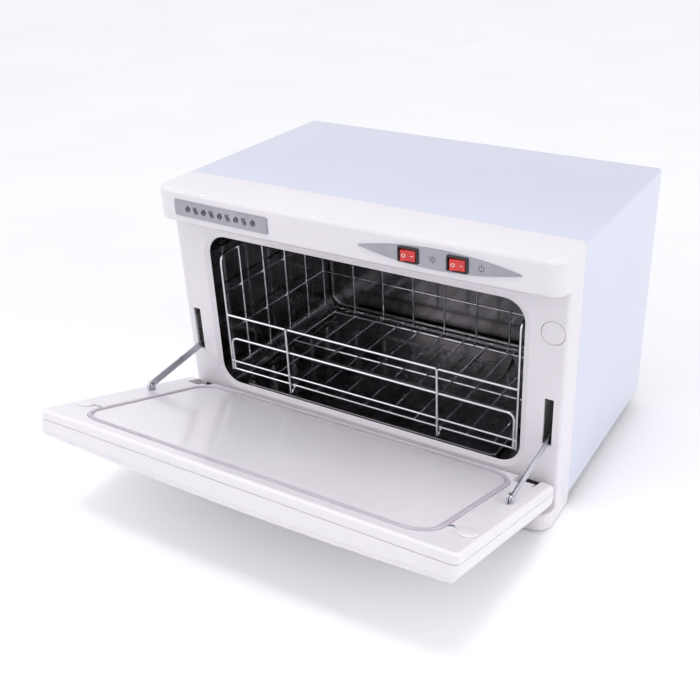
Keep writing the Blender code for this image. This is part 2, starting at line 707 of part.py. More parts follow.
def build_basket(parent):
    """Five flat panels of frame wires with thinner infill wires welded across them."""
    weld = 0.8 * (INFILL + INFILL)
    low = BASKET_FLOOR + 2 * INFILL
    overrun = 0.6 * INFILL

    for side, sign in (("left", -1), ("right", 1)):
        x = sign * BASKET_SIDE
        inner = x - sign * weld
        hoop = wire([(x, BASKET_FRONT, low), (x, BASKET_FRONT, BASKET_TOP), (x, BASKET_BACK, BASKET_TOP),
                     (x, BASKET_BACK, low)], fillet=0.0090)
        wires = [hoop]
        wires += [wire([(x, BASKET_FRONT, z), (x, BASKET_BACK, z)], INFILL) for z in (*RAILS, low + overrun)]
        wires += [wire([(inner, y, low), (inner, y, BASKET_TOP + overrun)], INFILL) for y in UPRIGHTS]
        wire_panel(f"basket_{side}", wires, parent)

    back = BASKET_BACK - weld
    wires = [wire([(-BASKET_END, BASKET_BACK, BASKET_TOP), (BASKET_END, BASKET_BACK, BASKET_TOP)])]
    wires += [wire([(-BASKET_END, BASKET_BACK, z), (BASKET_END, BASKET_BACK, z)], INFILL)
              for z in (*RAILS, low + overrun)]
    wires += [wire([(x, back, low), (x, back, BASKET_TOP + overrun)], INFILL)
              for x in spread(-BACK_UPRIGHT, BACK_UPRIGHT, 7)]
    wire_panel("basket_back", wires, parent)

    end = BASKET_END - WIRE
    before = BASKET_FRONT - 1.6 * WIRE
    hoop = wire([(-end, BASKET_FRONT, low), (-end, BASKET_FRONT, FENCE[1]), (end, BASKET_FRONT, FENCE[1]),
                 (end, BASKET_FRONT, low)], fillet=0.0080)
    wires = [hoop, wire([(-BASKET_END, BASKET_FRONT, FENCE[0]), (BASKET_END, BASKET_FRONT, FENCE[0])]),
             wire([(-BASKET_END, BASKET_FRONT, FENCE[2]), (BASKET_END, BASKET_FRONT, FENCE[2])], INFILL)]
    posts = (POST_SHIFT - FENCE_POST, POST_SHIFT + FENCE_POST)
    wires += [wire([(x, before, low), (x, before, FENCE[0] + overrun)]) for x in posts]
    wire_panel("basket_front", wires, parent)

    cross = BASKET_FLOOR - 0.8 * (WIRE + INFILL)
    reach = 5 / 3 * FENCE_POST
    left, right = POST_SHIFT - reach, POST_SHIFT + reach
    wires = [wire([(left - WIRE, y, cross), (right + WIRE, y, cross)])
             for y in spread(FLOOR_FRONT, FLOOR_REAR, 3)]
    first, last = FLOOR_FRONT - overrun, FLOOR_REAR + overrun
    wires += [wire([(x, first, BASKET_FLOOR), (x, last, BASKET_FLOOR)], INFILL)
              for x in spread(left, right, 11)]
    foot_low = TRAY_TOP + GAP + INFILL
    for x in posts:
        for y, inwards in ((FLOOR_FRONT, 1), (FLOOR_REAR, -1)):
            bottom = y - inwards * FOOT_REACH
            foot = [(x, bottom - inwards * 0.0018, low - 0.0021), (x, bottom, foot_low),
                    (x, bottom + inwards * 0.0125, BASKET_FLOOR)]
            wires.append(wire(foot, INFILL, fillet=0.0015))
    wire_panel("basket_floor", wires, parent)


# ---- hinges, catch and stay guides on the cabinet -----------------------------------------------
def stay_end(closing):
    """(y, z) of the stay's rear end, closing radians after the open position."""
    reach_y = AXIS_DEPTH + STAY_RISE
    reach_z = END_GAP + STAY_L
    tilt = OPEN_ANGLE - closing
    pivot_y = HINGE_Y + reach_y * math.cos(tilt) - reach_z * math.sin(tilt)
    pivot_z = HINGE_Z + reach_y * math.sin(tilt) + reach_z * math.cos(tilt)
    slope = STAY_OPEN + (STAY_SHUT - STAY_OPEN) * closing / OPEN_ANGLE
    return pivot_y + STAY_LENGTH * math.cos(slope), pivot_z + STAY_LENGTH * math.sin(slope)


def track_outline(half):
    """Outline of the slot that the roller follows, half a slot's width to each side of its path."""
    path = [Vector(stay_end(OPEN_ANGLE * step / TRACK_STEPS)) for step in range(TRACK_STEPS + 1)]
    headings = []
    left, right = [], []
    for index, here in enumerate(path):
        before, after = path[max(index - 1, 0)], path[min(index + 1, TRACK_STEPS)]
        heading = (after - before).normalized()
        headings.append(math.degrees(math.atan2(heading.y, heading.x)))
        normal = Vector((-heading.y, heading.x))
        left.append(tuple(here + normal * half))
        right.append(tuple(here - normal * half))
    round_end = arc(path[-1], half, headings[-1] + 90, headings[-1] - 90, 6)[1:-1]
    round_start = arc(path[0], half, headings[0] + 270, headings[0] + 90, 6)[1:-1]
    return left + round_end + right[::-1] + round_start


def build_hinge_fixtures(parent):
    """Bracket and pin of each hinge; the bracket is an ear on a plate that lines sill and face."""
    low = SILL_HIGH + GAP
    inner = KNUCKLE_X[0] - 0.0014
    shelf = boxed((inner, HINGE_Y - 0.0110, low), (EAR_X[1], FACE_Y - 2 * GAP, low + BRACKET_SHEET))
    back = boxed((inner, FACE_Y - 2 * GAP - BRACKET_SHEET, low), (EAR_X[1], FACE_Y - 2 * GAP, BRACKET_TOP))
    ear = arc((HINGE_Y, HINGE_Z), EAR_RADIUS, 0, 180, 8)
    ear += [(HINGE_Y - EAR_RADIUS, low), (HINGE_Y + EAR_RADIUS, low)]
    pin_hole = turned([(PIN_HOLE, EAR_X[0] - 0.0010), (PIN_HOLE, EAR_X[1] + 0.0010)], PIN_SEGMENTS)
    head = EAR_X[1] + GAP
    pin = turned([(PIN_RADIUS, KNUCKLE_X[0] - 0.0008), (PIN_RADIUS, head), (0.0034, head),
                  (0.0034, head + 0.0012)], PIN_SEGMENTS)
    for side, sign in (("left", -1), ("right", 1)):
        bracket = piece(f"hinge_bracket_{side}", sided(extruded(ear, *EAR_X), sign), "black_steel", parent)
        joined(bracket, sided(shelf, sign), sided(back, sign))
        cut(bracket, sided(along_x(pin_hole, 0.0, HINGE_Y, HINGE_Z), sign))
        placed = sided(along_x(pin, 0.0, HINGE_Y, HINGE_Z), sign)
        piece(f"hinge_pin_{side}", placed, "bright_steel", parent)


def build_catch_and_guides(parent):
    wall_back = FACE_Y + WALL + GAP
    catch = turned([(CATCH_RADIUS - 0.0005, 0.0), (CATCH_RADIUS, 0.0005), (CATCH_RADIUS, WALL - GAP)])
    piece("magnet_catch", along_y(catch, SLOT_X, FACE_Y, CATCH_Z), "white_plastic", parent)
    plate = boxed((GUIDE_X[0], wall_back, GUIDE_LOW), (GUIDE_X[1], GUIDE_BACK, GUIDE_HIGH))
    flange = boxed((GUIDE_X[0] + 0.0002, wall_back, GUIDE_LOW),
                   (GUIDE_FLANGE, wall_back + 0.0012, GUIDE_HIGH))
    track = extruded(track_outline(ROLLER_RADIUS + 0.0005), GUIDE_X[0] - 0.002, GUIDE_X[1] + 0.002)
    for side, sign in (("left", -1), ("right", 1)):
        guide = piece(f"stay_guide_{side}", sided(plate, sign), "bright_steel", parent)
        joined(guide, sided(flange, sign))
        cut(guide, sided(track, sign))


# ---- door: drawn shut, about its hinge axis -----------------------------------------------------
def door_point(x, l, t):
    return (x, AXIS_DEPTH - t, END_GAP + l)


def end_low(t):
    """Where the half-round hinge end lies at depth t."""
    return -END_GAP - math.sqrt(max(END_RADIUS ** 2 - (t - END_RADIUS) ** 2, 0.0))


def door_ring(inset, t, low=None, bow=0.0):
    """Rounded outline of the door; bow lets the middle stand out."""
    half = DOOR_WIDTH / 2

    def place(u, v):
        return door_point(u, v, t + bow * (1 - (u / half) ** 2))

    start = end_low(t) if low is None else low
    corner = max(DOOR_CORNER - inset, 0.002)
    return rounded_ring(half - inset, start, DOOR_HEIGHT - inset, corner, place, stations=7)


def gasket_ring(offset, t):
    return rounded_ring(GASKET_HALF + offset, GASKET_LOW - offset, GASKET_HIGH + offset,
                        GASKET_CORNER + offset, lambda u, v: door_point(u, v, t), stations=7)


def shell_rings():
    """Hollow outer half of the door: inside from the seam out, then outside from the seam out."""
    outside = [door_ring(0.0, DOOR_SEAM + GAP)]
    for step in range(5):
        a = math.pi / 2 * step / 4
        inset = DOOR_ROUND * (1 - math.cos(a))
        outside.append(door_ring(inset, DOOR_EDGE - DOOR_ROUND * (1 - math.sin(a)), bow=DOOR_BOW))
    hollow = [door_ring(0.0110, DOOR_EDGE - WALL, low=HINGE_WALL + 0.0050, bow=DOOR_BOW),
              door_ring(0.0060, DOOR_EDGE - 0.0043, low=HINGE_WALL + 0.0020, bow=DOOR_BOW),
              door_ring(0.0035, DOOR_EDGE - 0.0078, low=HINGE_WALL, bow=DOOR_BOW),
              door_ring(WALL, DOOR_SEAM + GAP, low=HINGE_WALL)]
    return hollow + outside


def liner_rings():
    """Inner half of the door with the gasket's groove in its face and a shallow hollow behind."""
    rings = [gasket_ring(-GROOVE_HALF, 0.0), gasket_ring(-GROOVE_HALF, GROOVE_DEPTH),
             gasket_ring(GROOVE_HALF, GROOVE_DEPTH), gasket_ring(GROOVE_HALF, 0.0)]
    for t in (0.0, 0.0006, 0.0014, DOOR_SOFT, 0.0060, DOOR_SEAM):
        short = max(DOOR_SOFT - t, 0.0)
        rings.append(door_ring(DOOR_SOFT - math.sqrt(DOOR_SOFT ** 2 - short ** 2), t))
    rings.append(door_ring(WALL, DOOR_SEAM, low=HINGE_WALL))
    rings.append(door_ring(WALL, GROOVE_DEPTH + WALL, low=HINGE_WALL))
    return rings


def build_door(hinge):
    shell = piece("door_shell", lofted(shell_rings()), "white_plastic", hinge)
    liner = piece("door_liner", lofted(liner_rings()), "white_plastic", hinge)
    seal = [gasket_ring(offset, t) for offset, t in
            ((-0.0022, 0.0019), (-0.0022, -0.0006), (-0.0012, -0.0013), (0.0012, -0.0013), (0.0022, -0.0006),
             (0.0022, 0.0019))]
    piece("door_gasket", lofted(seal, closed=True), "seal_rubber", hinge)

    notch = boxed(door_point(NOTCH[0], -0.0200, 0.0600), door_point(NOTCH[1], NOTCH_DEPTH, -0.0200))
    eye_slot = boxed(door_point(EYE_X[0] - 0.0004, STAY_L - EYE_RADIUS - 0.0004, EYE_FOOT + 0.0020),
                     door_point(EYE_X[1] + 0.0004, STAY_L + EYE_RADIUS + 0.0004, -0.0050))
    screw_hole = turned([(DOOR_SCREW_HOLE, -0.0120), (DOOR_SCREW_HOLE, 0.0060)], PIN_SEGMENTS)
    screw_cut = along_y(screw_hole, *door_point(DOOR_SCREW_X, DOOR_SCREW_L, 0.0))
    cut(shell, *[sided(notch, sign) for sign in (-1, 1)])
    cut(liner, *[sided(cutter, sign) for cutter in (notch, eye_slot, screw_cut) for sign in (-1, 1)])

    barrel = along_x(turned([(KNUCKLE_RADIUS, KNUCKLE_X[0]), (KNUCKLE_RADIUS, KNUCKLE_X[1])], 24))
    web = boxed((KNUCKLE_X[0], -0.0075, 0.0010), (KNUCKLE_X[1], 0.0100, END_GAP + NOTCH_DEPTH - GAP))
    bore = along_x(turned([(PIN_HOLE, KNUCKLE_X[0] - 0.002), (PIN_HOLE, KNUCKLE_X[1] + 0.002)], PIN_SEGMENTS))
    pad = turned([(0.0095, GAP), (0.0095, 0.0008), (0.0083, 0.0013), (0.0040, 0.0016)])
    screw = turned([(0.0013, -0.0070), (0.0013, GAP), (0.0029, GAP), (0.0023, 0.0010)], PIN_SEGMENTS)
    for side, sign in (("left", -1), ("right", 1)):
        knuckle = piece(f"hinge_knuckle_{side}", sided(barrel, sign), "white_plastic", hinge)
        joined(knuckle, sided(web, sign))
        cut(knuckle, sided(bore, sign))
        placed = along_y(pad, *door_point(sign * SLOT_X, PAD_L, 0.0))
        piece(f"strike_pad_{side}", placed, "white_plastic", hinge)
        placed = along_y(screw, *door_point(sign * DOOR_SCREW_X, DOOR_SCREW_L, 0.0))
        piece(f"door_screw_{side}", placed, "bright_steel", hinge)


def build_stays(hinge):
    """Each stay hangs on an eye of the door, and its rear roller runs in the guide's track."""
    _, pivot_y, pivot_z = door_point(0.0, STAY_L, -STAY_RISE)
    foot_y = AXIS_DEPTH - EYE_FOOT
    foot_low = foot_y - 0.0012
    eye = arc((pivot_y, pivot_z), EYE_RADIUS, 90, -90, 8)
    eye += [(foot_low, pivot_z - EYE_RADIUS), (foot_low, pivot_z + EYE_RADIUS)]
    foot = boxed((EYE_X[0] - 0.0070, foot_low, pivot_z - 0.0080),
                 (EYE_X[1] - 0.0005, foot_y, pivot_z + 0.0080))
    hole = turned([(STAY_HOLE, EYE_X[0] - 0.0010), (STAY_HOLE, ARM_X[1] + 0.0010)], PIN_SEGMENTS)
    rivet = turned([(0.0032, 0.0), (0.0032, 0.0007), (0.0017, 0.0007), (0.0017, 0.0053), (0.0032, 0.0053),
                    (0.0028, 0.0062)], PIN_SEGMENTS)
    roller = turned([(0.0030, 0.0), (0.0030, 0.0007), (0.0015, 0.0007), (0.0015, 0.0033),
                     (ROLLER_RADIUS, 0.0033), (ROLLER_RADIUS, 0.0065)], PIN_SEGMENTS)
    strap = arc((0.0, 0.0), STAY_HALF, 270, 90, 8) + arc((STAY_LENGTH, 0.0), STAY_HALF, 90, -90, 8)
    for side, sign in (("left", -1), ("right", 1)):
        bracket = piece(f"stay_bracket_{side}", sided(extruded(eye, *EYE_X), sign), "bright_steel", hinge)
        joined(bracket, sided(foot, sign))
        cut(bracket, sided(along_x(hole, 0.0, pivot_y, pivot_z), sign))
        placed = sided(along_x(rivet, EYE_X[0] - 0.0010, pivot_y, pivot_z), sign)
        piece(f"stay_rivet_{side}", placed, "bright_steel", hinge)
        carrier = frame_empty(f"{side}_stay", hinge, (0.0, pivot_y, pivot_z), STAY_OPEN - OPEN_ANGLE)
        arm = piece(f"stay_arm_{side}", sided(extruded(strap, *ARM_X), sign), "bright_steel", carrier)
        cut(arm, *[sided(along_x(hole, 0.0, y, 0.0), sign) for y in (0.0, STAY_LENGTH)])
        placed = sided(along_x(roller, ARM_X[0] - 0.0009, STAY_LENGTH, 0.0), sign)
        piece(f"stay_roller_{side}", placed, "bright_steel", carrier)


# ---- assembly -----------------------------------------------------------------------------------
def stand_on_origin(root):
    """Move the cabinet so that the middle of its base, as it stands with its door open, is the origin."""
    bpy.context.view_layer.update()
    solids = [item for item in bpy.context.scene.objects if item.type == "MESH" and not item.hide_render]
    corners = [item.matrix_world @ Vector(corner) for item in solids for corner in item.bound_box]
    depth = [corner.y for corner in corners]
    root.location.y = -(min(depth) + max(depth)) / 2
    root.location.z = FOOT_DROP
    bpy.context.view_layer.update()


def main():
    for item in list(bpy.data.objects):
        bpy.data.objects.remove(item, do_unlink=True)
    cabinet = frame_empty("cabinet")
    build_fascia(cabinet)
    build_plates(cabinet)
    build_switches(cabinet)
    build_casing(cabinet)
    build_rear(cabinet)
    build_chamber(cabinet)
    build_lamp(cabinet)
    build_electrics(cabinet)
    build_basket(cabinet)
    build_hinge_fixtures(cabinet)
    build_catch_and_guides(cabinet)
    hinge = frame_empty("door_hinge", cabinet, (0.0, HINGE_Y, HINGE_Z), OPEN_ANGLE)
    build_door(hinge)
    build_stays(hinge)
    stand_on_origin(cabinet)


main()
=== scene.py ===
"""Looks of the hot towel cabinet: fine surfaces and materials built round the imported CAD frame.

Pieces are drawn in metres from the seam between fascia and casing (y = 0) and from the casing's lower
edge (z = 0), then moved to the frame by ORIGIN. The door's pieces are drawn shut, about its hinge:
x across, l up from the hinge end and t outwards from the inner face.
"""

import json
import math

import bmesh
import bpy
from mathutils import Matrix, Vector


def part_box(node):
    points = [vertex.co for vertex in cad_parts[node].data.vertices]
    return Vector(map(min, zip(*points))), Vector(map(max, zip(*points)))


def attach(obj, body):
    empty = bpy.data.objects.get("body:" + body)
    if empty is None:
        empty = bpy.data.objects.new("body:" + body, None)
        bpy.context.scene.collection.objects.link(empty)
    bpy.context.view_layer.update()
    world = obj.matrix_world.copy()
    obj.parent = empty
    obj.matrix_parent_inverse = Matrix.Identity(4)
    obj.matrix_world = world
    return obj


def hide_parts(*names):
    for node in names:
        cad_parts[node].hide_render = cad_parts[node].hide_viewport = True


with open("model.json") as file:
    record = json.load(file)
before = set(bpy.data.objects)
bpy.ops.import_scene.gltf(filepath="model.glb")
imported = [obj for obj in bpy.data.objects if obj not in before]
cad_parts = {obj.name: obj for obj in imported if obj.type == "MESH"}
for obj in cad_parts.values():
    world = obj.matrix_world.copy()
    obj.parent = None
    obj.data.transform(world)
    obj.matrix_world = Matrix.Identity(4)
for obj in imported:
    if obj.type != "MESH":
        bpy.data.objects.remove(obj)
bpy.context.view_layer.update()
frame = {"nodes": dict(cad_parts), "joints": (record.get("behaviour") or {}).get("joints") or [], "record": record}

SLOTS = {part["node"]: part["material_slot"] for part in frame["record"]["subparts"]}
JOINTS = {joint["name"]: joint for joint in frame["joints"]}
BACK_GAP = 0.0002            # half of the seam between fascia and casing
GAP = 0.0003                 # clearance between pieces that touch
SIDES = (("left", -1), ("right", 1))
ORIGIN = Vector((0.0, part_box("front_fascia")[1].y + BACK_GAP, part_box("outer_casing")[0].z))


def drawn(node):
    """Lowest and highest corner of a CAD node, measured from the drawing's origin."""
    low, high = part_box(node)
    return low - ORIGIN, high - ORIGIN


def middle(node):
    low, high = drawn(node)
    return (low + high) / 2


# ---- sizes taken from the frame -----------------------------------------------------------------
CASE_HIGH = drawn("outer_casing")[1]
HALF_WIDTH = CASE_HIGH.x
CASE_TOP = CASE_HIGH.z
CASE_BACK = CASE_HIGH.y
FASCIA_LOW = drawn("front_fascia")[0]
LINER_LOW, LINER_HIGH = drawn("inner_liner")
TRAY_LOW, TRAY_HIGH = drawn("drip_tray")
PANEL_LOW, PANEL_HIGH = drawn("rear_panel")
SIDE_LOW, SIDE_HIGH = drawn("basket_right")
LAMP = middle("uv_lamp_tube")
LAMP_HALF = drawn("uv_lamp_tube")[1].x - LAMP.x
CATCH = middle("magnet_catch")
SWITCH_X = {label: JOINTS[f"{label}_switch"]["pos_m"][0] for label in ("ozone", "power")}
SWITCH_Z = middle("ozone_rocker").z
HINGE_POINT = Vector(JOINTS["door_hinge"]["pos_m"])
OPEN_ANGLE = math.radians(JOINTS["door_hinge"]["range_deg"][1])
PIVOT_POINT = Vector(JOINTS["right_stay_pivot"]["pos_m"])

# ---- sizes of the shapes within those boxes -------------------------------------------------------
SHEET = 0.0008
WALL = 0.0025
CASE_LIP = 0.2204            # inner edge of the lip that the casing turns in below its sides
CASE_BEND = 0.0036
BROW_BOW = 0.0040            # how far the brow's middle stands in front of its ends
BROW_CORNER = 0.0165
BROW_LOW = 0.2380
SILL_HIGH = 0.0070
BROW_Y = FASCIA_LOW.y + BROW_BOW
FACE_Y = CATCH.y - 0.0011
FACE_CORNER = 0.0040
SOFT_EDGE = 0.0042           # rounding of the brow's and the sill's long edges
MOUTH = (0.1825, 0.0412, 0.2175, 0.0220)    # half width, low, high, corner
LINER_HALF = 0.1850
LINER_FLOOR = 0.0380
LINER_ROOF = 0.2200
LINER_CORNER = 0.0210
TRAY_CORNER = 0.0100
SLOT_X = CATCH.x
SLOT_HALF = 0.0045
SLOT_LOW = 0.0745
SLOT_HIGH = 0.1250
CATCH_RADIUS = 0.0115
SWITCH_HOLE = (0.0096, 0.0067)              # half width and half height
PLATE_SHEET = 0.0010
ROCKER_TILT = math.radians(10.0)
KEY_HALF = 0.0070
KEY_HEIGHT = 0.0104
LOUVRE_X = (-0.1100, 0.1100)
LOUVRE_Z = [0.1900 + 0.0110 * row for row in range(6)]
LOUVRE_HALF = 0.0300
LOUVRE_OPENING = 0.0035
GLAND_HOLE = 0.0090

# door: l runs up from the hinge end, t outwards from the inner face
DOOR_WIDTH = 0.4494
DOOR_HEIGHT = 0.2094
DOOR_CORNER = 0.0065
DOOR_SEAM = 0.0095
DOOR_EDGE = 0.0278
DOOR_BOW = 0.0052
DOOR_ROUND = 0.0100
DOOR_SOFT = 0.0032           # rounding of the inner face's edge
END_RADIUS = DOOR_EDGE / 2   # the hinge end is a half round
HINGE_WALL = 0.0190          # the door is solid from its hinge end up to here
AXIS_DEPTH = 0.0157          # hinge axis below the inner face
END_GAP = 0.00174
NOTCH = (0.1890, 0.2120)
NOTCH_DEPTH = 0.0160
KNUCKLE_X = (0.1914, 0.2065)
KNUCKLE_RADIUS = 0.0115
PIN_HOLE = 0.0025
GASKET = (0.1900, 0.0085, 0.1930, 0.0240)   # half width, low, high, corner
GROOVE_HALF = 0.0026
GROOVE_DEPTH = 0.0022
SCREW_X = 0.1963
SCREW_L = 0.1625
PAD_L = 0.1650
STAY_L = 0.0748
STAY_RISE = 0.0047
STAY_LENGTH = 0.0980
STAY_HALF = 0.0041
ARM_X = (0.2111, 0.2131)
EYE_X = (0.2092, 0.2107)
EYE_RADIUS = 0.0050
EYE_FOOT = 0.0050

# basket
WIRE = 0.0015
INFILL = 0.0012
BASKET_LOW = 0.0526          # lower end of the upright wires
BASKET_FLOOR = 0.0502
RAILS = (0.1470, 0.1000)
FENCE = (0.1205, 0.0925, 0.0625)
POSTS = (-0.0948, 0.0892)
UPRIGHTS = (0.0050, 0.0450, 0.0850, 0.1250)
BACK_UPRIGHT = 0.1290
BASKET_END = 0.1752
FLOOR_FRONT = -0.0165
FLOOR_REAR = 0.1600
FOOT_REACH = 0.0085

FINE = 10                    # steps round a large corner
TURN = 6                     # steps round a small edge


# ---- solids: points and faces ---------------------------------------------------------------------
def loft(rings, closed=False):
    """Skin rings of equal length; an open loft is capped by strips across its first and last ring."""
    count = len(rings[0])
    points = [Vector(point) for ring in rings for point in ring]
    faces = []
    for number in range(len(rings) if closed else len(rings) - 1):
        near = number * count
        far = (number + 1) % len(rings) * count
        for step in range(count):
            after = (step + 1) % count
            faces.append((near + step, near + after, far + after, far + step))
    if not closed:
        for base in (0, (len(rings) - 1) * count):
            for step in range(count // 2 - 1):
                opposite = count - 1 - step
                faces.append((base + step, base + step + 1, base + opposite - 1, base + opposite))
    return points, faces


def boxed(low, high):
    xs, ys, zs = zip(low, high)
    lower = [(xs[0], ys[0], zs[0]), (xs[0], ys[1], zs[0]), (xs[1], ys[1], zs[0]), (xs[1], ys[0], zs[0])]
    return loft([lower, [(x, y, zs[1]) for x, y, _ in lower]])


def extruded(outline, start, end, along="x"):
    """Prism of a 2-D outline: (y, z) run along x, or (x, y) along z."""
    count = len(outline)
    points = [Vector((at, a, b) if along == "x" else (a, b, at)) for at in (start, end) for a, b in outline]
    faces = []
    for step in range(count):
        after = (step + 1) % count
        faces.append((step, after, count + after, count + step))
    return points, faces + [tuple(range(count)), tuple(range(count, 2 * count))]


def turned(profile, segments=48, bored=False):
    """Turn (radius, height) points about Z; a bored profile closes on itself round the bore."""
    turn = [2 * math.pi * step / segments for step in range(segments)]
    return loft([[(radius * math.cos(a), radius * math.sin(a), height) for a in turn]
                 for radius, height in profile], closed=bored)


def moved(solid, matrix):
    return [matrix @ point for point in solid[0]], solid[1]


def shifted(solid, x=0.0, y=0.0, z=0.0):
    return moved(solid, Matrix.Translation((x, y, z)))


def along_x(solid, x=0.0, y=0.0, z=0.0):
    return moved(solid, Matrix.Translation((x, y, z)) @ Matrix.Rotation(math.pi / 2, 4, "Y"))


def along_y(solid, x=0.0, y=0.0, z=0.0):
    return moved(solid, Matrix.Translation((x, y, z)) @ Matrix.Rotation(-math.pi / 2, 4, "X"))


def sided(solid, sign):
    """Mirror a solid drawn on the right to the side that sign names."""
    return moved(solid, Matrix.Diagonal((sign, 1, 1, 1)))


def together(*solids):
    points, faces = [], []
    for solid_points, solid_faces in solids:
        base = len(points)
        points += solid_points
        faces += [tuple(base + index for index in face) for face in solid_faces]
    return points, faces


def filleted(path, radius, steps=8):
    """Round a path's inner corners."""
    points = [Vector(point) for point in path]
    rounded = [points[0]]
    for before, here, after in zip(points, points[1:], points[2:]):
        start = here + (before - here).normalized() * radius
        end = here + (after - here).normalized() * radius
        for step in range(steps + 1):
            t = step / steps
            rounded.append(start * (1 - t) ** 2 + here * (2 * t * (1 - t)) + end * t ** 2)
    return rounded + [points[-1]]


def tube(path, radius=WIRE, sides=12, fillet=0.0, looped=False):
    """Round bar along a path, with softened ends."""
    points = filleted(path, fillet) if fillet else [Vector(point) for point in path]
    count = len(points)
    turn = [2 * math.pi * step / sides for step in range(sides)]
    side = (points[1] - points[0]).orthogonal().normalized()
    rings = []
    for index, here in enumerate(points):
        before = points[index - 1] if index or looped else here
        after = points[(index + 1) % count] if index < count - 1 or looped else here
        heading = (after - before).normalized()
        side = (side - heading * side.dot(heading)).normalized()
        up = heading.cross(side)
        rings.append([here + (side * math.cos(a) + up * math.sin(a)) * radius for a in turn])
    if looped:
        return loft(rings, closed=True)

    def cap(end, inner, ring):
        out = (points[end] - points[inner]).normalized() * radius
        return [[points[end] + (point - points[end]) * share + out * reach for point in ring]
                for share, reach in ((0.80, 0.45), (0.30, 0.70))]

    return loft(cap(0, 1, rings[0])[::-1] + rings + cap(-1, -2, rings[-1]))


# ---- outlines -------------------------------------------------------------------------------------
def rounded_rail(half_u, half_v, corner, stations=1, steps=FINE):
    """Upper half of a rounded rectangle, from its left side to its right side."""
    turn = [math.pi / 2 * step / steps for step in range(steps + 1)]
    left = [(-half_u + corner * (1 - math.cos(a)), half_v - corner * (1 - math.sin(a))) for a in turn]
    span = half_u - corner
    between = [(span * (2 * step / (stations + 1) - 1), half_v) for step in range(1, stations + 1)]
    return left + between + [(-u, v) for u, v in reversed(left)]


def rounded_ring(half_u, low, high, corner, place, stations=1, steps=FINE):
    """Whole rounded rectangle between low and high, with place turning (u, v) into a point."""
    centre = (low + high) / 2
    rail = rounded_rail(half_u, (high - low) / 2, corner, stations, steps)
    return [place(u, centre + v) for u, v in rail] + [place(u, centre - v) for u, v in reversed(rail)]


def upright_ring(half_x, low, high, corner, y):
    return rounded_ring(half_x, low, high, corner, lambda u, v: (u, y, v))


def arc(centre, radius, first, last, steps):
    """Points from angle first to angle last, in degrees."""
    turn = [math.radians(first + (last - first) * step / steps) for step in range(steps + 1)]
    return [(centre[0] + radius * math.cos(a), centre[1] + radius * math.sin(a)) for a in turn]


def edge_curve(radius, steps=TURN):
    """(inset, rise) pairs round a quarter edge, from the flat to the side."""
    turn = [math.pi / 2 * step / steps for step in range(steps + 1)]
    return [(radius * (1 - math.sin(a)), radius * (1 - math.cos(a))) for a in turn]


# ---- objects --------------------------------------------------------------------------------------
def shape(name, solid):
    mesh = bpy.data.meshes.new(name)
    mesh.from_pydata([tuple(point) for point in solid[0]], [], solid[1])
    work = bmesh.new()
    work.from_mesh(mesh)
    bmesh.ops.recalc_face_normals(work, faces=work.faces)
    work.to_mesh(mesh)
    work.free()
    made = bpy.data.objects.new(name, mesh)
    bpy.context.scene.collection.objects.link(made)
    return made


def worked(made):
    """Put the object's modifiers into its mesh."""
    bpy.context.view_layer.update()
    seen = made.evaluated_get(bpy.context.evaluated_depsgraph_get())
    mesh = bpy.data.meshes.new_from_object(seen)
    made.modifiers.clear()
    made.data = mesh


def carved(made, *cutters, operation="DIFFERENCE"):
    """Cut solids out of the object, or join them to it."""
    tool = shape("tool", together(*cutters))
    change = made.modifiers.new("change", "BOOLEAN")
    change.solver = "EXACT"
    change.operation = operation
    change.use_self = operation == "UNION"
    change.object = tool
    worked(made)
    bpy.data.objects.remove(tool, do_unlink=True)
    return made


def bevelled(made, width, segments, angle):
    edges = made.modifiers.new("edges", "BEVEL")
    edges.width = width
    edges.segments = segments
    edges.limit_method = "ANGLE"
    edges.angle_limit = math.radians(angle)
    return edges


def eased(made, width, segments=3):
    """Round every sharp edge a little."""
    bevelled(made, width, segments, 38)
    worked(made)
    return made


def finished(made, body, look, *nodes, sharp=32, matrix=None):
    """Shade the piece, give it its material and let it ride, standing for its CAD nodes."""
    made.data.transform(matrix or Matrix.Translation(ORIGIN))
    made.data.shade_smooth()
    made.data.set_sharp_from_angle(angle=math.radians(sharp))
    weighted = made.modifiers.new("normals", "WEIGHTED_NORMAL")
    weighted.keep_sharp = True
    made.data.materials.clear()
    made.data.materials.append(LOOKS[look])
    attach(made, body)
    if nodes:
        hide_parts(*nodes)
    return made


def fixed(name, solid, look, *nodes):
    return finished(shape(name, solid), "cabinet", look, *nodes)


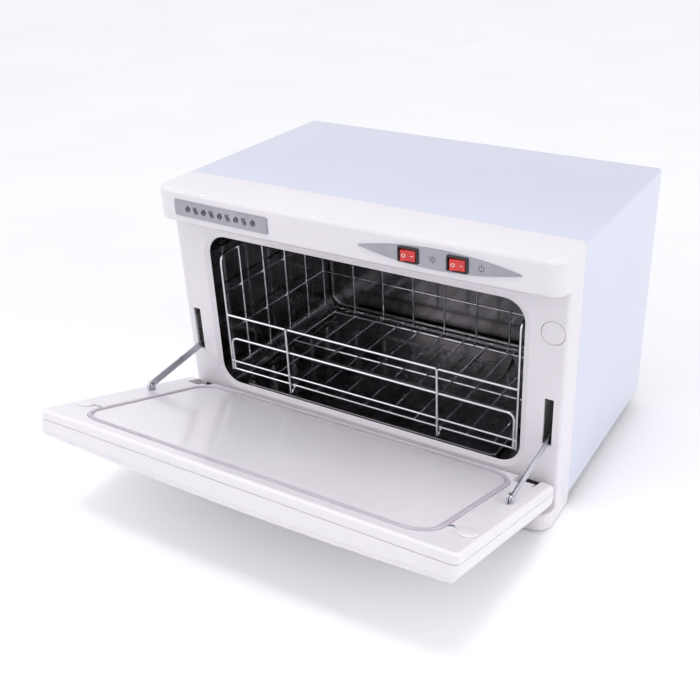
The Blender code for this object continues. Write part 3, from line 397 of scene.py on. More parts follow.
# ---- materials ------------------------------------------------------------------------------------
class Surface:
    """A node material whose colour, gloss and relief all come from noise over the piece."""

    def __init__(self, name, metallic=0.0, **fixed):
        self.made = bpy.data.materials.new(name)
        self.made.use_nodes = True
        self.tree = self.made.node_tree
        self.shader = self.tree.nodes["Principled BSDF"]
        self.shader.inputs["Metallic"].default_value = metallic
        for socket, value in fixed.items():
            self.shader.inputs[socket.replace("_", " ")].default_value = value
        self.place = self.tree.nodes.new("ShaderNodeTexCoord").outputs["Object"]
        self.normal = None

    def node(self, kind, **inputs):
        made = self.tree.nodes.new(kind)
        for socket, value in inputs.items():
            target = made.inputs[socket.replace("_", " ")]
            if isinstance(value, bpy.types.NodeSocket):
                self.tree.links.new(value, target)
            else:
                target.default_value = value
        return made

    def noise(self, scale, detail=3.0, stretch=(1, 1, 1), distortion=0.0):
        place = self.node("ShaderNodeMapping", Vector=self.place, Scale=stretch).outputs["Vector"]
        return self.node("ShaderNodeTexNoise", Vector=place, Scale=scale, Detail=detail,
                         Distortion=distortion).outputs[0]

    def cells(self, scale, stretch=(1, 1, 1)):
        place = self.node("ShaderNodeMapping", Vector=self.place, Scale=stretch).outputs["Vector"]
        return self.node("ShaderNodeTexVoronoi", Vector=place, Scale=scale).outputs["Distance"]

    def ramp(self, source, *stops):
        """Colours or numbers spread over the source's 0 to 1."""
        made = self.node("ShaderNodeValToRGB", Fac=source)
        stops_made = made.color_ramp.elements
        while len(stops_made) < len(stops):
            stops_made.new(0.5)
        for stop, (position, value) in zip(stops_made, stops):
            stop.position = position
            stop.color = (*value, 1.0) if isinstance(value, tuple) else (value, value, value, 1.0)
        return made.outputs["Color"]

    def colour(self, source, *stops):
        self.tree.links.new(self.ramp(source, *stops), self.shader.inputs["Base Color"])
        return self

    def gloss(self, source, *stops):
        self.tree.links.new(self.ramp(source, *stops), self.shader.inputs["Roughness"])
        return self

    def relief(self, source, depth):
        """Add a bump of that depth in metres."""
        bump = self.node("ShaderNodeBump", Height=source, Distance=depth, Strength=1.0)
        if self.normal:
            self.tree.links.new(self.normal, bump.inputs["Normal"])
        self.normal = bump.outputs["Normal"]
        self.tree.links.new(self.normal, self.shader.inputs["Normal"])
        return self


def painted_steel():
    """Gloss enamel on sheet steel: slight orange peel, a cool white."""
    look = Surface("painted_steel", IOR=1.5, Coat_Weight=0.6, Coat_Roughness=0.04)
    look.colour(look.noise(9, 2), (0.35, (0.58, 0.60, 0.735)), (0.65, (0.592, 0.615, 0.75)))
    look.gloss(look.noise(60, 4), (0.3, 0.16), (0.7, 0.21))
    look.relief(look.noise(420, 2), 0.00001)
    return look.relief(look.noise(26, 1), 0.00005).made


def white_plastic():
    """Moulded ABS: warm white, satin gloss, faint flow marks."""
    look = Surface("white_plastic", IOR=1.5, Coat_Weight=0.35, Coat_Roughness=0.08)
    look.colour(look.noise(7, 3), (0.35, (0.715, 0.69, 0.725)), (0.65, (0.735, 0.705, 0.74)))
    look.gloss(look.noise(85, 5), (0.3, 0.20), (0.7, 0.27))
    look.relief(look.noise(1500, 3), 0.000003)
    return look.relief(look.noise(22, 1), 0.00005).made


def noisy(name, tone, gloss, relief, **fixed):
    """Surface of three noises: (noise, dark, light), (noise, low, high) and (noise, depth)."""
    look = Surface(name, **fixed)
    look.colour(look.noise(*tone[0]), (0.3, tone[1]), (0.7, tone[2]))
    look.gloss(look.noise(*gloss[0]), (0.3, gloss[1]), (0.7, gloss[2]))
    return look.relief(look.noise(*relief[0]), relief[1]).made


def black_plastic():
    return noisy("black_plastic", ((60, 3), (0.012, 0.012, 0.013), (0.022, 0.021, 0.023)),
                 ((300, 4), 0.30, 0.44), ((2600, 3), 0.000006), IOR=1.5)


def black_steel():
    """Satin black on folded steel, near-black so the hinge brackets stand in for the shade in the notches beside
    the door's knuckles: painted shade.
    """
    return noisy("black_steel", ((80, 3), (0.014, 0.014, 0.015), (0.026, 0.025, 0.026)),
                 ((260, 4), 0.36, 0.50), ((1600, 3), 0.000008), IOR=1.5)


def black_rubber():
    return noisy("black_rubber", ((90, 4), (0.015, 0.015, 0.016), (0.040, 0.039, 0.040)),
                 ((240, 4), 0.60, 0.80), ((1800, 5), 0.00002), IOR=1.45)


def seal_rubber():
    """Milky pinkish grey silicone."""
    return noisy("seal_rubber", ((45, 3), (0.44, 0.39, 0.45), (0.50, 0.45, 0.51)),
                 ((200, 4), 0.30, 0.42), ((900, 3), 0.00001), IOR=1.42)


def glass_wool():
    """Matted fibres, pale yellow."""
    return noisy("glass_wool", ((260, 8, (1, 1, 3), 1.5), (0.70, 0.67, 0.55), (0.86, 0.84, 0.74)),
                 ((100, 3), 0.85, 1.0), ((600, 8, (1, 1, 4), 2.0), 0.0008), Sheen_Weight=0.4)


def lamp_glass():
    """Quartz tube with a thin milky film."""
    return noisy("lamp_glass", ((80, 3, (0.2, 1, 1)), (0.78, 0.82, 0.93), (0.92, 0.94, 1.0)),
                 ((140, 3), 0.04, 0.12), ((300, 2), 0.000004), IOR=1.46, Transmission_Weight=0.75)


def ceramic():
    return noisy("ceramic", ((120, 5), (0.74, 0.72, 0.66), (0.84, 0.82, 0.77)),
                 ((260, 4), 0.32, 0.52), ((1300, 5), 0.000012), IOR=1.52)


def red_lens():
    """Lit red key: clear gloss skin over a body that glows from the neon lamp behind its middle."""
    look = Surface("red_lens", IOR=1.5, Coat_Weight=0.8, Coat_Roughness=0.05, Emission_Strength=0.13)
    glow = look.noise(220, 2)
    look.colour(glow, (0.3, (0.42, 0.003, 0.003)), (0.7, (0.56, 0.007, 0.006)))
    lit = look.ramp(glow, (0.35, (0.45, 0.002, 0.001)), (0.7, (1.0, 0.03, 0.01)))
    look.tree.links.new(lit, look.shader.inputs["Emission Color"])
    look.gloss(look.noise(400, 3), (0.3, 0.16), (0.7, 0.24))
    return look.relief(look.noise(700, 2), 0.000008).made


def galvanised():
    """Zinc spangle: large flat crystals with their own tone and gloss."""
    look = Surface("galvanised", metallic=1.0)
    crystals = look.cells(160)
    look.colour(crystals, (0.0, (0.42, 0.43, 0.45)), (0.5, (0.58, 0.59, 0.61)), (1.0, (0.66, 0.67, 0.70)))
    look.gloss(crystals, (0.0, 0.30), (1.0, 0.48))
    return look.relief(look.noise(700, 3), 0.000006).made


def heater():
    """Mica and foil: flaky bronze grey."""
    look = Surface("heater", metallic=0.8)
    look.colour(look.cells(240), (0.0, (0.30, 0.26, 0.21)), (1.0, (0.52, 0.47, 0.40)))
    look.gloss(look.noise(300, 4), (0.3, 0.38), (0.7, 0.60))
    return look.relief(look.noise(500, 4), 0.00002).made


def bare_metal(name, dark, light, rough, brush=(1, 1, 1)):
    """Metal with brush lines, cloudy tone and smudged gloss."""
    look = Surface(name, metallic=1.0)
    look.colour(look.noise(30, 5), (0.3, dark), (0.7, light))
    look.gloss(look.noise(66, 6), (0.3, rough[0]), (0.72, rough[1]))
    return look.relief(look.noise(1400, 4, brush), 0.000004).made


def liner_metal():
    return bare_metal("liner_metal", (0.20, 0.19, 0.20), (0.30, 0.29, 0.30), (0.13, 0.22), (1, 40, 1))


def chrome():
    return bare_metal("chrome", (0.74, 0.74, 0.76), (0.84, 0.84, 0.86), (0.06, 0.13))


def bright_steel():
    return bare_metal("bright_steel", (0.50, 0.51, 0.55), (0.64, 0.65, 0.69), (0.24, 0.36), (30, 1, 30))


def silver_plate():
    return bare_metal("silver_plate", (0.35, 0.35, 0.39), (0.42, 0.42, 0.46), (0.30, 0.40), (1, 40, 40))


LOOKS = {make.__name__: make() for make in (
    painted_steel, white_plastic, galvanised, liner_metal, chrome, bright_steel, silver_plate,
    black_plastic, black_steel, red_lens, black_rubber, seal_rubber, glass_wool, heater, lamp_glass,
    ceramic)}


# ---- fascia ---------------------------------------------------------------------------------------
def brow_y(x):
    """Front surface of the brow at x."""
    return BROW_Y - BROW_BOW * (1 - (x / (HALF_WIDTH - BROW_CORNER)) ** 2)


def plan_ring(z, half, front, corner, bow, back):
    """Plan outline of the fascia at one height: bowed front rail, then straight back rail."""
    rail = []
    for u, v in rounded_rail(half, 0.0, corner, stations=31):
        crown = bow * max(0.0, 1 - (u / (half - corner)) ** 2)
        rail.append((u, front - v - crown))
    return [(x, y, z) for x, y in rail] + [(x, back, z) for x, _ in reversed(rail)]


def fascia_rings(wall, rounding, fillet, back):
    """Fascia outline from the sill up to the brow, wall inside its outer surface."""
    def bulged(z, front_inset=0.0, side_inset=0.0):
        return plan_ring(z, HALF_WIDTH - wall - side_inset, BROW_Y + wall + front_inset,
                         BROW_CORNER - wall - side_inset, BROW_BOW, back)

    def face(z, forward=0.0):
        corner = FACE_CORNER - 0.8 * wall
        return plan_ring(z, HALF_WIDTH - wall, FACE_Y + wall - forward, corner, 0.0, back)

    curve = edge_curve(rounding) if rounding else [(0.0, 0.0)]
    inner = edge_curve(fillet, 4) if fillet else [(0.0, 0.0)]
    slope = 0.0001
    low = FASCIA_LOW.z + wall
    rings = [bulged(low + rise, inset, inset) for inset, rise in curve]
    rings += [bulged(SILL_HIGH - wall - rise, inset) for inset, rise in reversed(curve)]
    rings += [face(SILL_HIGH - wall + slope + rise, inset) for inset, rise in inner]
    rings += [face(BROW_LOW + wall - slope - rise, inset) for inset, rise in reversed(inner)]
    rings += [bulged(BROW_LOW + wall + rise, inset) for inset, rise in curve]
    return rings + [bulged(CASE_TOP - wall - rise, inset, inset) for inset, rise in reversed(curve)]


def flared_hole(half_x, low, high, corner, lip, depth):
    """Cutter for a hole in the face whose edge rolls in over a small lip."""
    rings = [upright_ring(half_x + lip, low - lip, high + lip, corner + lip, FACE_Y - 0.004)]
    for inset, rise in edge_curve(lip, 4):
        grow = lip - rise
        size = (half_x + grow, low - grow, high + grow, corner + grow)
        rings.append(upright_ring(*size, FACE_Y + lip - inset))
    return loft(rings + [upright_ring(half_x, low, high, corner, FACE_Y + depth)])


def switch_holes():
    """Cutters through the brow for the two switch bodies."""
    half_x, half_z = SWITCH_HOLE
    before, behind = -0.070, -0.050
    return [boxed((x - half_x, before, SWITCH_Z - half_z), (x + half_x, behind, SWITCH_Z + half_z))
            for x in SWITCH_X.values()]


def build_fascia():
    made = shape("fascia_moulding", loft(fascia_rings(0.0, SOFT_EDGE, 0.0016, -BACK_GAP)))
    half, low, high, corner = MOUTH
    rim = ((0.0066, -0.004), (0.0066, -0.0001), (0.0062, 0.0001), (0.0055, 0.0004), (0.0011, 0.0021),
           (0.0005, 0.0025), (0.0001, 0.0031), (0.0, 0.0038), (0.0, 0.0080))
    mouth = loft([upright_ring(half + grow, low - grow, high + grow, corner + grow, FACE_Y + depth)
                  for grow, depth in rim])
    cutters = [loft(fascia_rings(WALL, 0.0, 0.0, 0.003)), mouth]
    for sign in (-1, 1):
        slot = flared_hole(SLOT_HALF, SLOT_LOW, SLOT_HIGH, 0.0008, 0.0004, 0.008)
        cutters.append(shifted(slot, sign * SLOT_X))
    hole = CATCH_RADIUS + GAP
    catch = turned([(hole + 0.0004, -0.004), (hole + 0.0004, 0.0), (hole + 0.0001, 0.0002),
                    (hole, 0.0006), (hole, 0.008)], 64)
    cutters.append(along_y(catch, SLOT_X, FACE_Y, CATCH.z))
    for cutter in cutters + switch_holes():
        carved(made, cutter)
    finished(made, "cabinet", "white_plastic", "front_fascia", sharp=40)


def on_brow(outline, out_from, out_to, easing=0.0003):
    """Thin plate that follows the brow's front, its front edge eased; outline is a ring of (x, z)."""
    centre_x = sum(x for x, _ in outline) / len(outline)
    centre_z = sum(z for _, z in outline) / len(outline)

    def ring(out, shrink):
        pulled = []
        for x, z in outline:
            away = Vector((x - centre_x, z - centre_z))
            away = away * max(0.0, 1 - shrink / max(away.length, 1e-6))
            pulled.append((centre_x + away.x, centre_z + away.y))
        return [(x, brow_y(x) - out, z) for x, z in pulled]

    return loft([ring(out_from, 0), ring(out_to - easing, 0), ring(out_to - easing * 0.3, easing * 0.3),
                 ring(out_to, easing)])


def strokes(lines, out, radius, place):
    """Raised marks: thin round beads along 2-D lines, half sunk in the surface that place gives."""
    return together(*[tube([place(u, v, out) for u, v in line], radius, 8, looped=looped)
                      for line, looped in lines])


def circle(u, v, radius):
    return arc((u, v), radius, 0, 360, 24)[:-1]


def steam(u, v, height):
    """A rising wave."""
    shares = [n / 12 for n in range(13)]
    return [(u + 0.12 * height * math.sin(2 * math.pi * t), v + height * (t - 0.5)) for t in shares]


def spiral(u, v, radius):
    """End of a rolled towel."""
    line = []
    for n in range(37):
        a = math.pi * n / 8
        reach = radius * (0.15 + 0.85 * n / 36)
        line.append((u + reach * math.cos(a), v + reach * math.sin(a)))
    return line


def on_plate(u, v, rise):
    return (u, brow_y(u) - rise, v)


def build_name_plate():
    """Name plate with rolled towels and steam where a maker would print words."""
    low, high = drawn("name_plate")
    half = (high.x - low.x) / 2
    centre = (high.x + low.x) / 2
    mark_z = (low.z + high.z) / 2
    out = PLATE_SHEET + GAP

    def place(u, v):
        return (u + centre, v)

    outline = rounded_ring(half, low.z, high.z, 0.0015, place, 12, 4)
    fixed("name_badge", on_brow(outline, GAP, out), "silver_plate", "name_plate")
    lines = []
    for step in range(-4, 5):
        u = centre + 0.0105 * step
        if step % 2:
            lines += [(steam(u + shift, mark_z, 0.0070), False) for shift in (-0.0018, 0.0, 0.0018)]
        else:
            lines.append((spiral(u, mark_z, 0.0034), False))
    fixed("badge_pictograms", strokes(lines, out, 0.00042, on_plate), "black_plastic")


def build_switch_plate():
    """Pointed plate round the switches, with a lamp sign and a power sign."""
    low, high = drawn("control_plate")
    centre, half_length = (low.x + high.x) / 2, (high.x - low.x) / 2
    blunt = 0.0003
    half_height = (high.z - low.z) / 2 - blunt
    out = PLATE_SHEET + GAP
    steps = 48
    rail = []
    for step in range(steps + 1):
        u = 2 * step / steps - 1
        rail.append((centre + half_length * u, blunt + half_height * (1 - u * u)))
    outline = [(x, SWITCH_Z + rise) for x, rise in rail]
    outline += [(x, SWITCH_Z - rise) for x, rise in reversed(rail)]
    plate = shape("switch_plate", on_brow(outline, GAP, out, 0.0005))
    for hole in switch_holes():
        carved(plate, hole)
    finished(plate, "cabinet", "silver_plate", "control_plate")

    rays_u = (SWITCH_X["ozone"] + SWITCH_X["power"]) / 2
    lines = [(circle(rays_u, SWITCH_Z, 0.0016), True)]
    for n in range(8):
        a = math.pi / 4 * n
        ray = [(rays_u + r * math.cos(a), SWITCH_Z + r * math.sin(a)) for r in (0.0025, 0.0037)]
        lines.append((ray, False))
    power_u = SWITCH_X["power"] + 0.0230
    lines.append((arc((power_u, SWITCH_Z), 0.0026, 125, 415, 20), False))
    lines.append(([(power_u, SWITCH_Z + 0.0006), (power_u, SWITCH_Z + 0.0036)], False))
    fixed("plate_pictograms", strokes(lines, out, 0.00026, on_plate), "black_plastic")


def key_out(u):
    """Height of a key's face: a shallow valley between its two raised ends."""
    return 0.0055 + 0.0011 * min(1.0, abs(u) / KEY_HALF) ** 1.6


def on_key(u, v, rise):
    return (u, -key_out(u) - rise, v)


def build_key(label, at):
    """Saddle-shaped rocker with a ring and a bar on it."""
    steps = 20
    us = [KEY_HALF * (1 - 2 * n / steps) for n in range(steps + 1)]
    face = [(u, -key_out(u)) for u in us]
    skirt = [(-0.0076, -0.0010), (-0.0074, 0.0012), (-0.0030, 0.0026), (0.0030, 0.0026), (0.0074, 0.0012),
             (0.0076, -0.0010)]
    key = eased(shape(f"{label}_key", extruded(face + skirt, -KEY_HEIGHT / 2, KEY_HEIGHT / 2, "z")), 0.00035)
    finished(key, f"{label}_rocker", "red_lens", f"{label}_rocker", sharp=50, matrix=at)
    marks = [(circle(-0.0040, 0.0, 0.0015), True), ([(0.0026, 0.0), (0.0052, 0.0)], False)]
    made = shape(f"{label}_key_marks", strokes(marks, 0.0, 0.0003, on_key))
    finished(made, f"{label}_rocker", "ceramic", matrix=at)


def switch_ring(half_x, half_z, corner, out):
    return rounded_ring(half_x, -half_z, half_z, corner, lambda u, v: (u, -out, v), 3, 4)


def build_switches():
    """Rocker switches: stepped bezel with a soft rim round each key."""
    back = GAP + PLATE_SHEET + GAP
    front = back + 0.0019
    pocket = (0.0086, 0.0057, 0.0006)
    bezel = (0.0105, 0.0075, 0.0013)
    body = (0.0093, 0.0064, 0.0006)
    stages = [(*pocket, front - 0.0100), (*pocket, front - 0.0006),
              (0.0088, 0.0059, 0.0007, front - 0.0002), (0.0091, 0.0062, 0.0008, front),
              (0.0098, 0.0068, 0.0010, front), (0.0102, 0.0072, 0.0012, front - 0.0002),
              (*bezel, front - 0.0007), (*bezel, back), (*body, back), (*body, front - 0.0145)]
    for label, x in SWITCH_X.items():
        slope = math.atan2(brow_y(x + 0.001) - brow_y(x - 0.001), 0.002)
        at = Matrix.Translation(ORIGIN + Vector((x, brow_y(x), SWITCH_Z))) @ Matrix.Rotation(slope, 4, "Z")
        made = shape(f"{label}_bezel", loft([switch_ring(*stage) for stage in stages]))
        finished(made, "cabinet", "black_plastic", f"{label}_switch_body", matrix=at)
        pivot = Matrix.Translation(JOINTS[f"{label}_switch"]["pos_m"])
        build_key(label, pivot @ Matrix.Rotation(slope + ROCKER_TILT, 4, "Z"))


# ---- casing ---------------------------------------------------------------------------------------
def sheet_ring(path, thickness, y, inset=0.0):
    """Both sides of a bent sheet whose middle line is an (x, z) path."""
    outer, inner = [], []
    for index, point in enumerate(path):
        before = Vector(path[max(index - 1, 0)])
        after = Vector(path[min(index + 1, len(path) - 1)])
        here = Vector(point)
        into = (here - before).normalized() if index else (after - here).normalized()
        out_of = (after - here).normalized() if index < len(path) - 1 else into
        normal = Vector((-(into.y + out_of.y), into.x + out_of.x)).normalized()
        reach = thickness / 2 / max(normal.dot(Vector((-into.y, into.x))), 0.5)
        outer.append((here.x + normal.x * (reach - inset), y, here.y + normal.y * (reach - inset)))
        inner.append((here.x - normal.x * (reach - inset), y, here.y - normal.y * (reach - inset)))
    return outer + inner[::-1]


def build_casing():
    half = HALF_WIDTH - SHEET / 2
    top = CASE_TOP - SHEET / 2
    left = [(-CASE_LIP, SHEET / 2), (-half + 0.0008, SHEET / 2), (-half + 0.0002, SHEET / 2 + 0.0002),
            (-half, SHEET / 2 + 0.0008)]
    left += arc((-half + CASE_BEND, top - CASE_BEND), CASE_BEND, 180, 90, 10)
    path = left + [(-x, z) for x, z in reversed(left)]
    soft = 0.00035
    edge = ((0.0, 0.8), (0.3, 0.2), (1.0, 0.0))
    rings = [sheet_ring(path, SHEET, BACK_GAP + soft * share, soft * inset) for share, inset in edge]
    rings += [sheet_ring(path, SHEET, CASE_BACK - soft * share, soft * inset) for share, inset in edge[::-1]]
    fixed("casing_sheet", loft(rings), "painted_steel", "outer_casing")


def louvre(x, z, half):
    """Pressed hood over one vent slot, open downwards."""
    rings = []
    steps = 14
    seat = PANEL_HIGH.y - 0.0001
    for n in range(steps + 1):
        u = -half + 2 * half * n / steps
        out = PANEL_HIGH.y + 0.0001 + 0.0020 * math.sqrt(max(0.0, 1 - (u / half) ** 6))
        section = [(seat, 0.0010), (out, -0.0002), (out + 0.0004, 0.0001), (seat + 0.0005, 0.0046),
                   (seat, 0.0046), (seat, 0.0040)]
        rings.append([(x + u, y, z + rise) for y, rise in section])
    return loft(rings)


def crossed_screw(radius, height, shank, depth):
    """Domed head with a cross recess, its seat at height zero."""
    head = [(shank, -depth), (shank, 0.0), (radius, 0.0), (radius, height * 0.25),
            (radius * 0.88, height * 0.62), (radius * 0.6, height * 0.9), (radius * 0.25, height)]
    made = shape("screw", turned(head, 32))
    arm, half = radius * 0.55, radius * 0.13
    cross = [boxed((-arm, -half, height * 0.60), (arm, half, height * 2)),
             boxed((-half, -arm, height * 0.60), (half, arm, height * 2))]
    for bar in cross:
        carved(made, bar)
    solid = [v.co.copy() for v in made.data.vertices], [tuple(p.vertices) for p in made.data.polygons]
    bpy.data.objects.remove(made, do_unlink=True)
    return solid


def build_rear_panel():
    panel = shape("rear_cover", boxed(PANEL_LOW, PANEL_HIGH))
    before, behind = PANEL_LOW.y - 0.003, PANEL_HIGH.y + 0.003
    slots = [boxed((x - LOUVRE_HALF, before, z), (x + LOUVRE_HALF, behind, z + LOUVRE_OPENING))
             for x in LOUVRE_X for z in LOUVRE_Z]
    gland = middle("cord_gland")
    hole = turned([(GLAND_HOLE, 0.0), (GLAND_HOLE, behind - before)], 48)
    slots.append(along_y(hole, gland.x, before, gland.z))
    carved(panel, together(*slots))
    finished(panel, "cabinet", "painted_steel", "rear_panel")
    hoods = together(*[louvre(x, z, LOUVRE_HALF + 0.0012) for x in LOUVRE_X for z in LOUVRE_Z])
    fixed("rear_louvres", hoods, "painted_steel")


def build_rear_screws():
    head = crossed_screw(0.0035, 0.0014, 0.0013, 0.0080)
    nodes = [f"rear_screw_{number}" for number in range(1, 5)]
    screws = []
    for number, node in enumerate(nodes, 1):
        place = middle(node)
        turn = Matrix.Rotation(0.7 * number, 4, "Z")
        screws.append(along_y(moved(head, turn), place.x, PANEL_HIGH.y + GAP, place.z))
    fixed("rear_screws", together(*screws), "bright_steel", *nodes)


def build_gland():
    """Flanged bush with four flexing ribs."""
    gland = middle("cord_gland")
    profile = [(0.0035, -0.0080), (0.0085, -0.0080), (0.0085, 0.0), (0.0116, 0.0), (0.0120, 0.0004),
               (0.0120, 0.0026), (0.0116, 0.0030)]
    for rib in range(4):
        base = 0.0034 + 0.0013 * rib
        radius = 0.0084 - 0.0005 * rib
        profile += [(radius, base), (radius, base + 0.0007), (radius - 0.0009, base + 0.0009)]
    profile += [(0.0058, 0.0085), (0.0040, 0.0088), (0.0035, 0.0085)]
    relief = along_y(turned(profile, 48, bored=True), gland.x, PANEL_HIGH.y + GAP, gland.z)
    fixed("gland_relief", relief, "black_plastic", "cord_gland")


def build_feet():
    low = drawn("foot_front_left")[0].z
    profile = [(0.0020, low + 0.0040), (0.0046, low + 0.0040), (0.0048, low + 0.0006), (0.0054, low),
               (0.0100, low), (0.0108, low + 0.0003), (0.0112, low + 0.0010), (0.0108, low + 0.0060),
               (0.0099, -0.0008), (0.0095, -0.0002), (0.0092, 0.0009)]
    for end in ("front", "rear"):
        for side in ("left", "right"):
            place = middle(f"foot_{end}_{side}")
            foot = shifted(turned(profile), place.x, place.y)
            fixed(f"rubber_{end}_{side}", foot, "black_rubber", f"foot_{end}_{side}")


# ---- chamber --------------------------------------------------------------------------------------
def build_chamber():
    front = LINER_LOW.y
    back = LINER_HIGH.y - SHEET

    def ring(offset, y):
        return upright_ring(LINER_HALF + offset, LINER_FLOOR - offset, LINER_ROOF + offset,
                            LINER_CORNER + offset, y)

    curve = edge_curve(0.0060)
    rings = [ring(-rise, back - inset) for inset, rise in reversed(curve)]
    rings += [ring(0.0, front + 0.0008), ring(0.0003, front + 0.0002), ring(0.0010, front),
              ring(0.0085, front), ring(0.0085, front + SHEET), ring(SHEET, front + SHEET)]
    rings += [ring(SHEET - rise, back + SHEET - inset) for inset, rise in curve]
    fixed("liner_tub", loft(rings), "liner_metal", "inner_liner")


def build_tray():
    """Loose pan with rolled rims and three stiffening beads."""
    half = (TRAY_HIGH - TRAY_LOW) / 2
    centre_y = (TRAY_HIGH.y + TRAY_LOW.y) / 2
    floor = TRAY_LOW.z + SHEET
    rim = TRAY_HIGH.z
    section = ((0.0050, floor), (0.0030, floor + 0.0003), (0.0016, floor + 0.0010), (0.0014, rim - 0.0004),
               (0.0011, rim), (0.0003, rim), (0.0, rim - 0.0004), (0.0, TRAY_LOW.z + 0.0010),
               (0.0010, TRAY_LOW.z))
    rings = []
    for inset, z in section:
        rail = rounded_rail(half.x - inset, half.y - inset, TRAY_CORNER - inset, 15)
        lower = [(u, centre_y - v, z) for u, v in reversed(rail)]
        rings.append([(u, centre_y + v, z) for u, v in rail] + lower)
    made = shape("tray_pan", loft(rings))
    first, last = TRAY_LOW.y + 0.030, TRAY_HIGH.y - 0.022
    beads = [tube([(x, first, floor - 0.0004), (x, last, floor - 0.0004)], 0.0011)
             for x in (-0.052, 0.0, 0.052)]
    carved(made, *beads, operation="UNION")
    finished(made, "cabinet", "liner_metal", "drip_tray")


def lamp_end(sign):
    """Metal cap with the pins and the heating coil inside the glass."""
    profile = [(0.0060, 0.0000), (0.0074, 0.0002), (0.0080, 0.0008), (0.0080, 0.0112), (0.0077, 0.0116),
               (0.0070, 0.0118)]
    inwards = moved(turned(profile), Matrix.Diagonal((1, 1, -1, 1)))
    cap = sided(along_x(inwards, LAMP_HALF, 0.0, 0.0), sign)
    coil = [(sign * (LAMP_HALF - 0.020 + 0.0001 * n), 0.0022 * math.sin(n * 0.9), 0.0022 * math.cos(n * 0.9))
            for n in range(40)]
    pins = [tube([(sign * (LAMP_HALF - 0.011), v, 0.0), (sign * (LAMP_HALF - 0.021), v, 0.0)], 0.0004, 8)
            for v in (-0.003, 0.003)]
    return together(cap, tube(coil, 0.00035, 6), *pins)


def build_lamp():
    """Germicidal tube: clear glass between two metal ends."""
    outer, inner = 0.0077, 0.0066
    end = LAMP_HALF - 0.010
    glass = [(outer, -end), (outer, end), (inner, end - 0.002), (inner, 0.002 - end)]
    envelope = along_x(turned(glass, 48, bored=True), *LAMP)
    fixed("lamp_envelope", envelope, "lamp_glass", "uv_lamp_tube")
    fixed("lamp_caps", shifted(together(lamp_end(-1), lamp_end(1)), *LAMP), "bright_steel")


def build_sockets():
    for side in ("left", "right"):
        low, high = drawn(f"lamp_holder_{side}")
        socket = shape(f"lamp_socket_{side}", boxed(low, high))
        groove = boxed((low.x - 0.001, LAMP.y - 0.0040, low.z - 0.001),
                       (high.x + 0.001, LAMP.y + 0.0040, low.z + 0.0008))
        carved(socket, groove)
        eased(socket, 0.0011, 4)
        finished(socket, "cabinet", "ceramic", f"lamp_holder_{side}")


# ---- basket ---------------------------------------------------------------------------------------
def spread(first, last, count):
    return [first + (last - first) * step / (count - 1) for step in range(count)]


def thin(*points, fillet=0.0):
    return tube(points, INFILL, 10, fillet)


def basket_walls(side_x, front, back, top):
    """Hoops and infill wires of the two sides, the back and the front fence."""
    solids = []
    for sign in (-1, 1):
        x = sign * side_x
        inner = x - sign * 2.2 * INFILL
        foot = BASKET_LOW - 0.0008
        bow = [(x, front, foot), (x, front, top), (x, back, top), (x, back, foot)]
        solids.append(tube(bow, fillet=0.0110))
        solids += [thin((x, front, z), (x, back, z)) for z in (*RAILS, BASKET_LOW)]
        solids += [thin((inner, y, BASKET_LOW), (inner, y, top + 0.0006)) for y in UPRIGHTS]
    solids.append(tube([(-BASKET_END, back, top), (BASKET_END, back, top)]))
    solids += [thin((-BASKET_END, back, z), (BASKET_END, back, z)) for z in RAILS]
    behind = back - 2.2 * INFILL
    for x in spread(-BACK_UPRIGHT, BACK_UPRIGHT, 7):
        solids.append(thin((x, behind, top + 0.0006), (x, behind, BASKET_FLOOR + 0.0012),
                           (x, behind - 0.0060, BASKET_FLOOR), fillet=0.0030))
    end = BASKET_END - 0.0022
    solids.append(tube([(-end, front, BASKET_LOW), (-end, front, FENCE[1]), (end, front, FENCE[1]),
                        (end, front, BASKET_LOW)], fillet=0.0090))
    for z, radius in ((FENCE[0], WIRE), (FENCE[2], INFILL)):
        solids.append(tube([(-BASKET_END, front, z), (BASKET_END, front, z)], radius))
    return solids


def basket_bottom(side_x, front, back):
    """Floor wires, and the two long wires that are the front's posts and turn under into feet."""
    under = BASKET_FLOOR - WIRE - INFILL + 0.0003
    reach = 5 / 6 * (POSTS[1] - POSTS[0])
    shift = (POSTS[0] + POSTS[1]) / 2
    left, right = shift - reach, shift + reach
    solids = [tube([(left - WIRE, y, under), (right + WIRE, y, under)])
              for y in spread(FLOOR_FRONT, FLOOR_REAR, 3)]
    first, last = FLOOR_FRONT - 0.0008, FLOOR_REAR + 0.0008
    solids += [thin((x, first, BASKET_FLOOR), (x, last, BASKET_FLOOR)) for x in spread(left, right, 11)]
    solids += [thin((-side_x, y, BASKET_LOW), (side_x, y, BASKET_LOW)) for y in (front, back)]
    ahead = front - 1.6 * WIRE
    foot = TRAY_LOW.z + SHEET + GAP + WIRE
    first, last = FLOOR_FRONT - FOOT_REACH, FLOOR_REAR + FOOT_REACH
    for x in POSTS:
        path = [(x, ahead, FENCE[0] + 0.0010), (x, ahead, BASKET_LOW - 0.0020), (x, first, foot),
                (x, first + 0.0125, BASKET_FLOOR), (x, last - 0.0125, BASKET_FLOOR), (x, last, foot),
                (x, last + 0.0018, BASKET_LOW - 0.0021)]
        solids.append(tube(path, WIRE * 0.93, fillet=0.0020))
    return solids


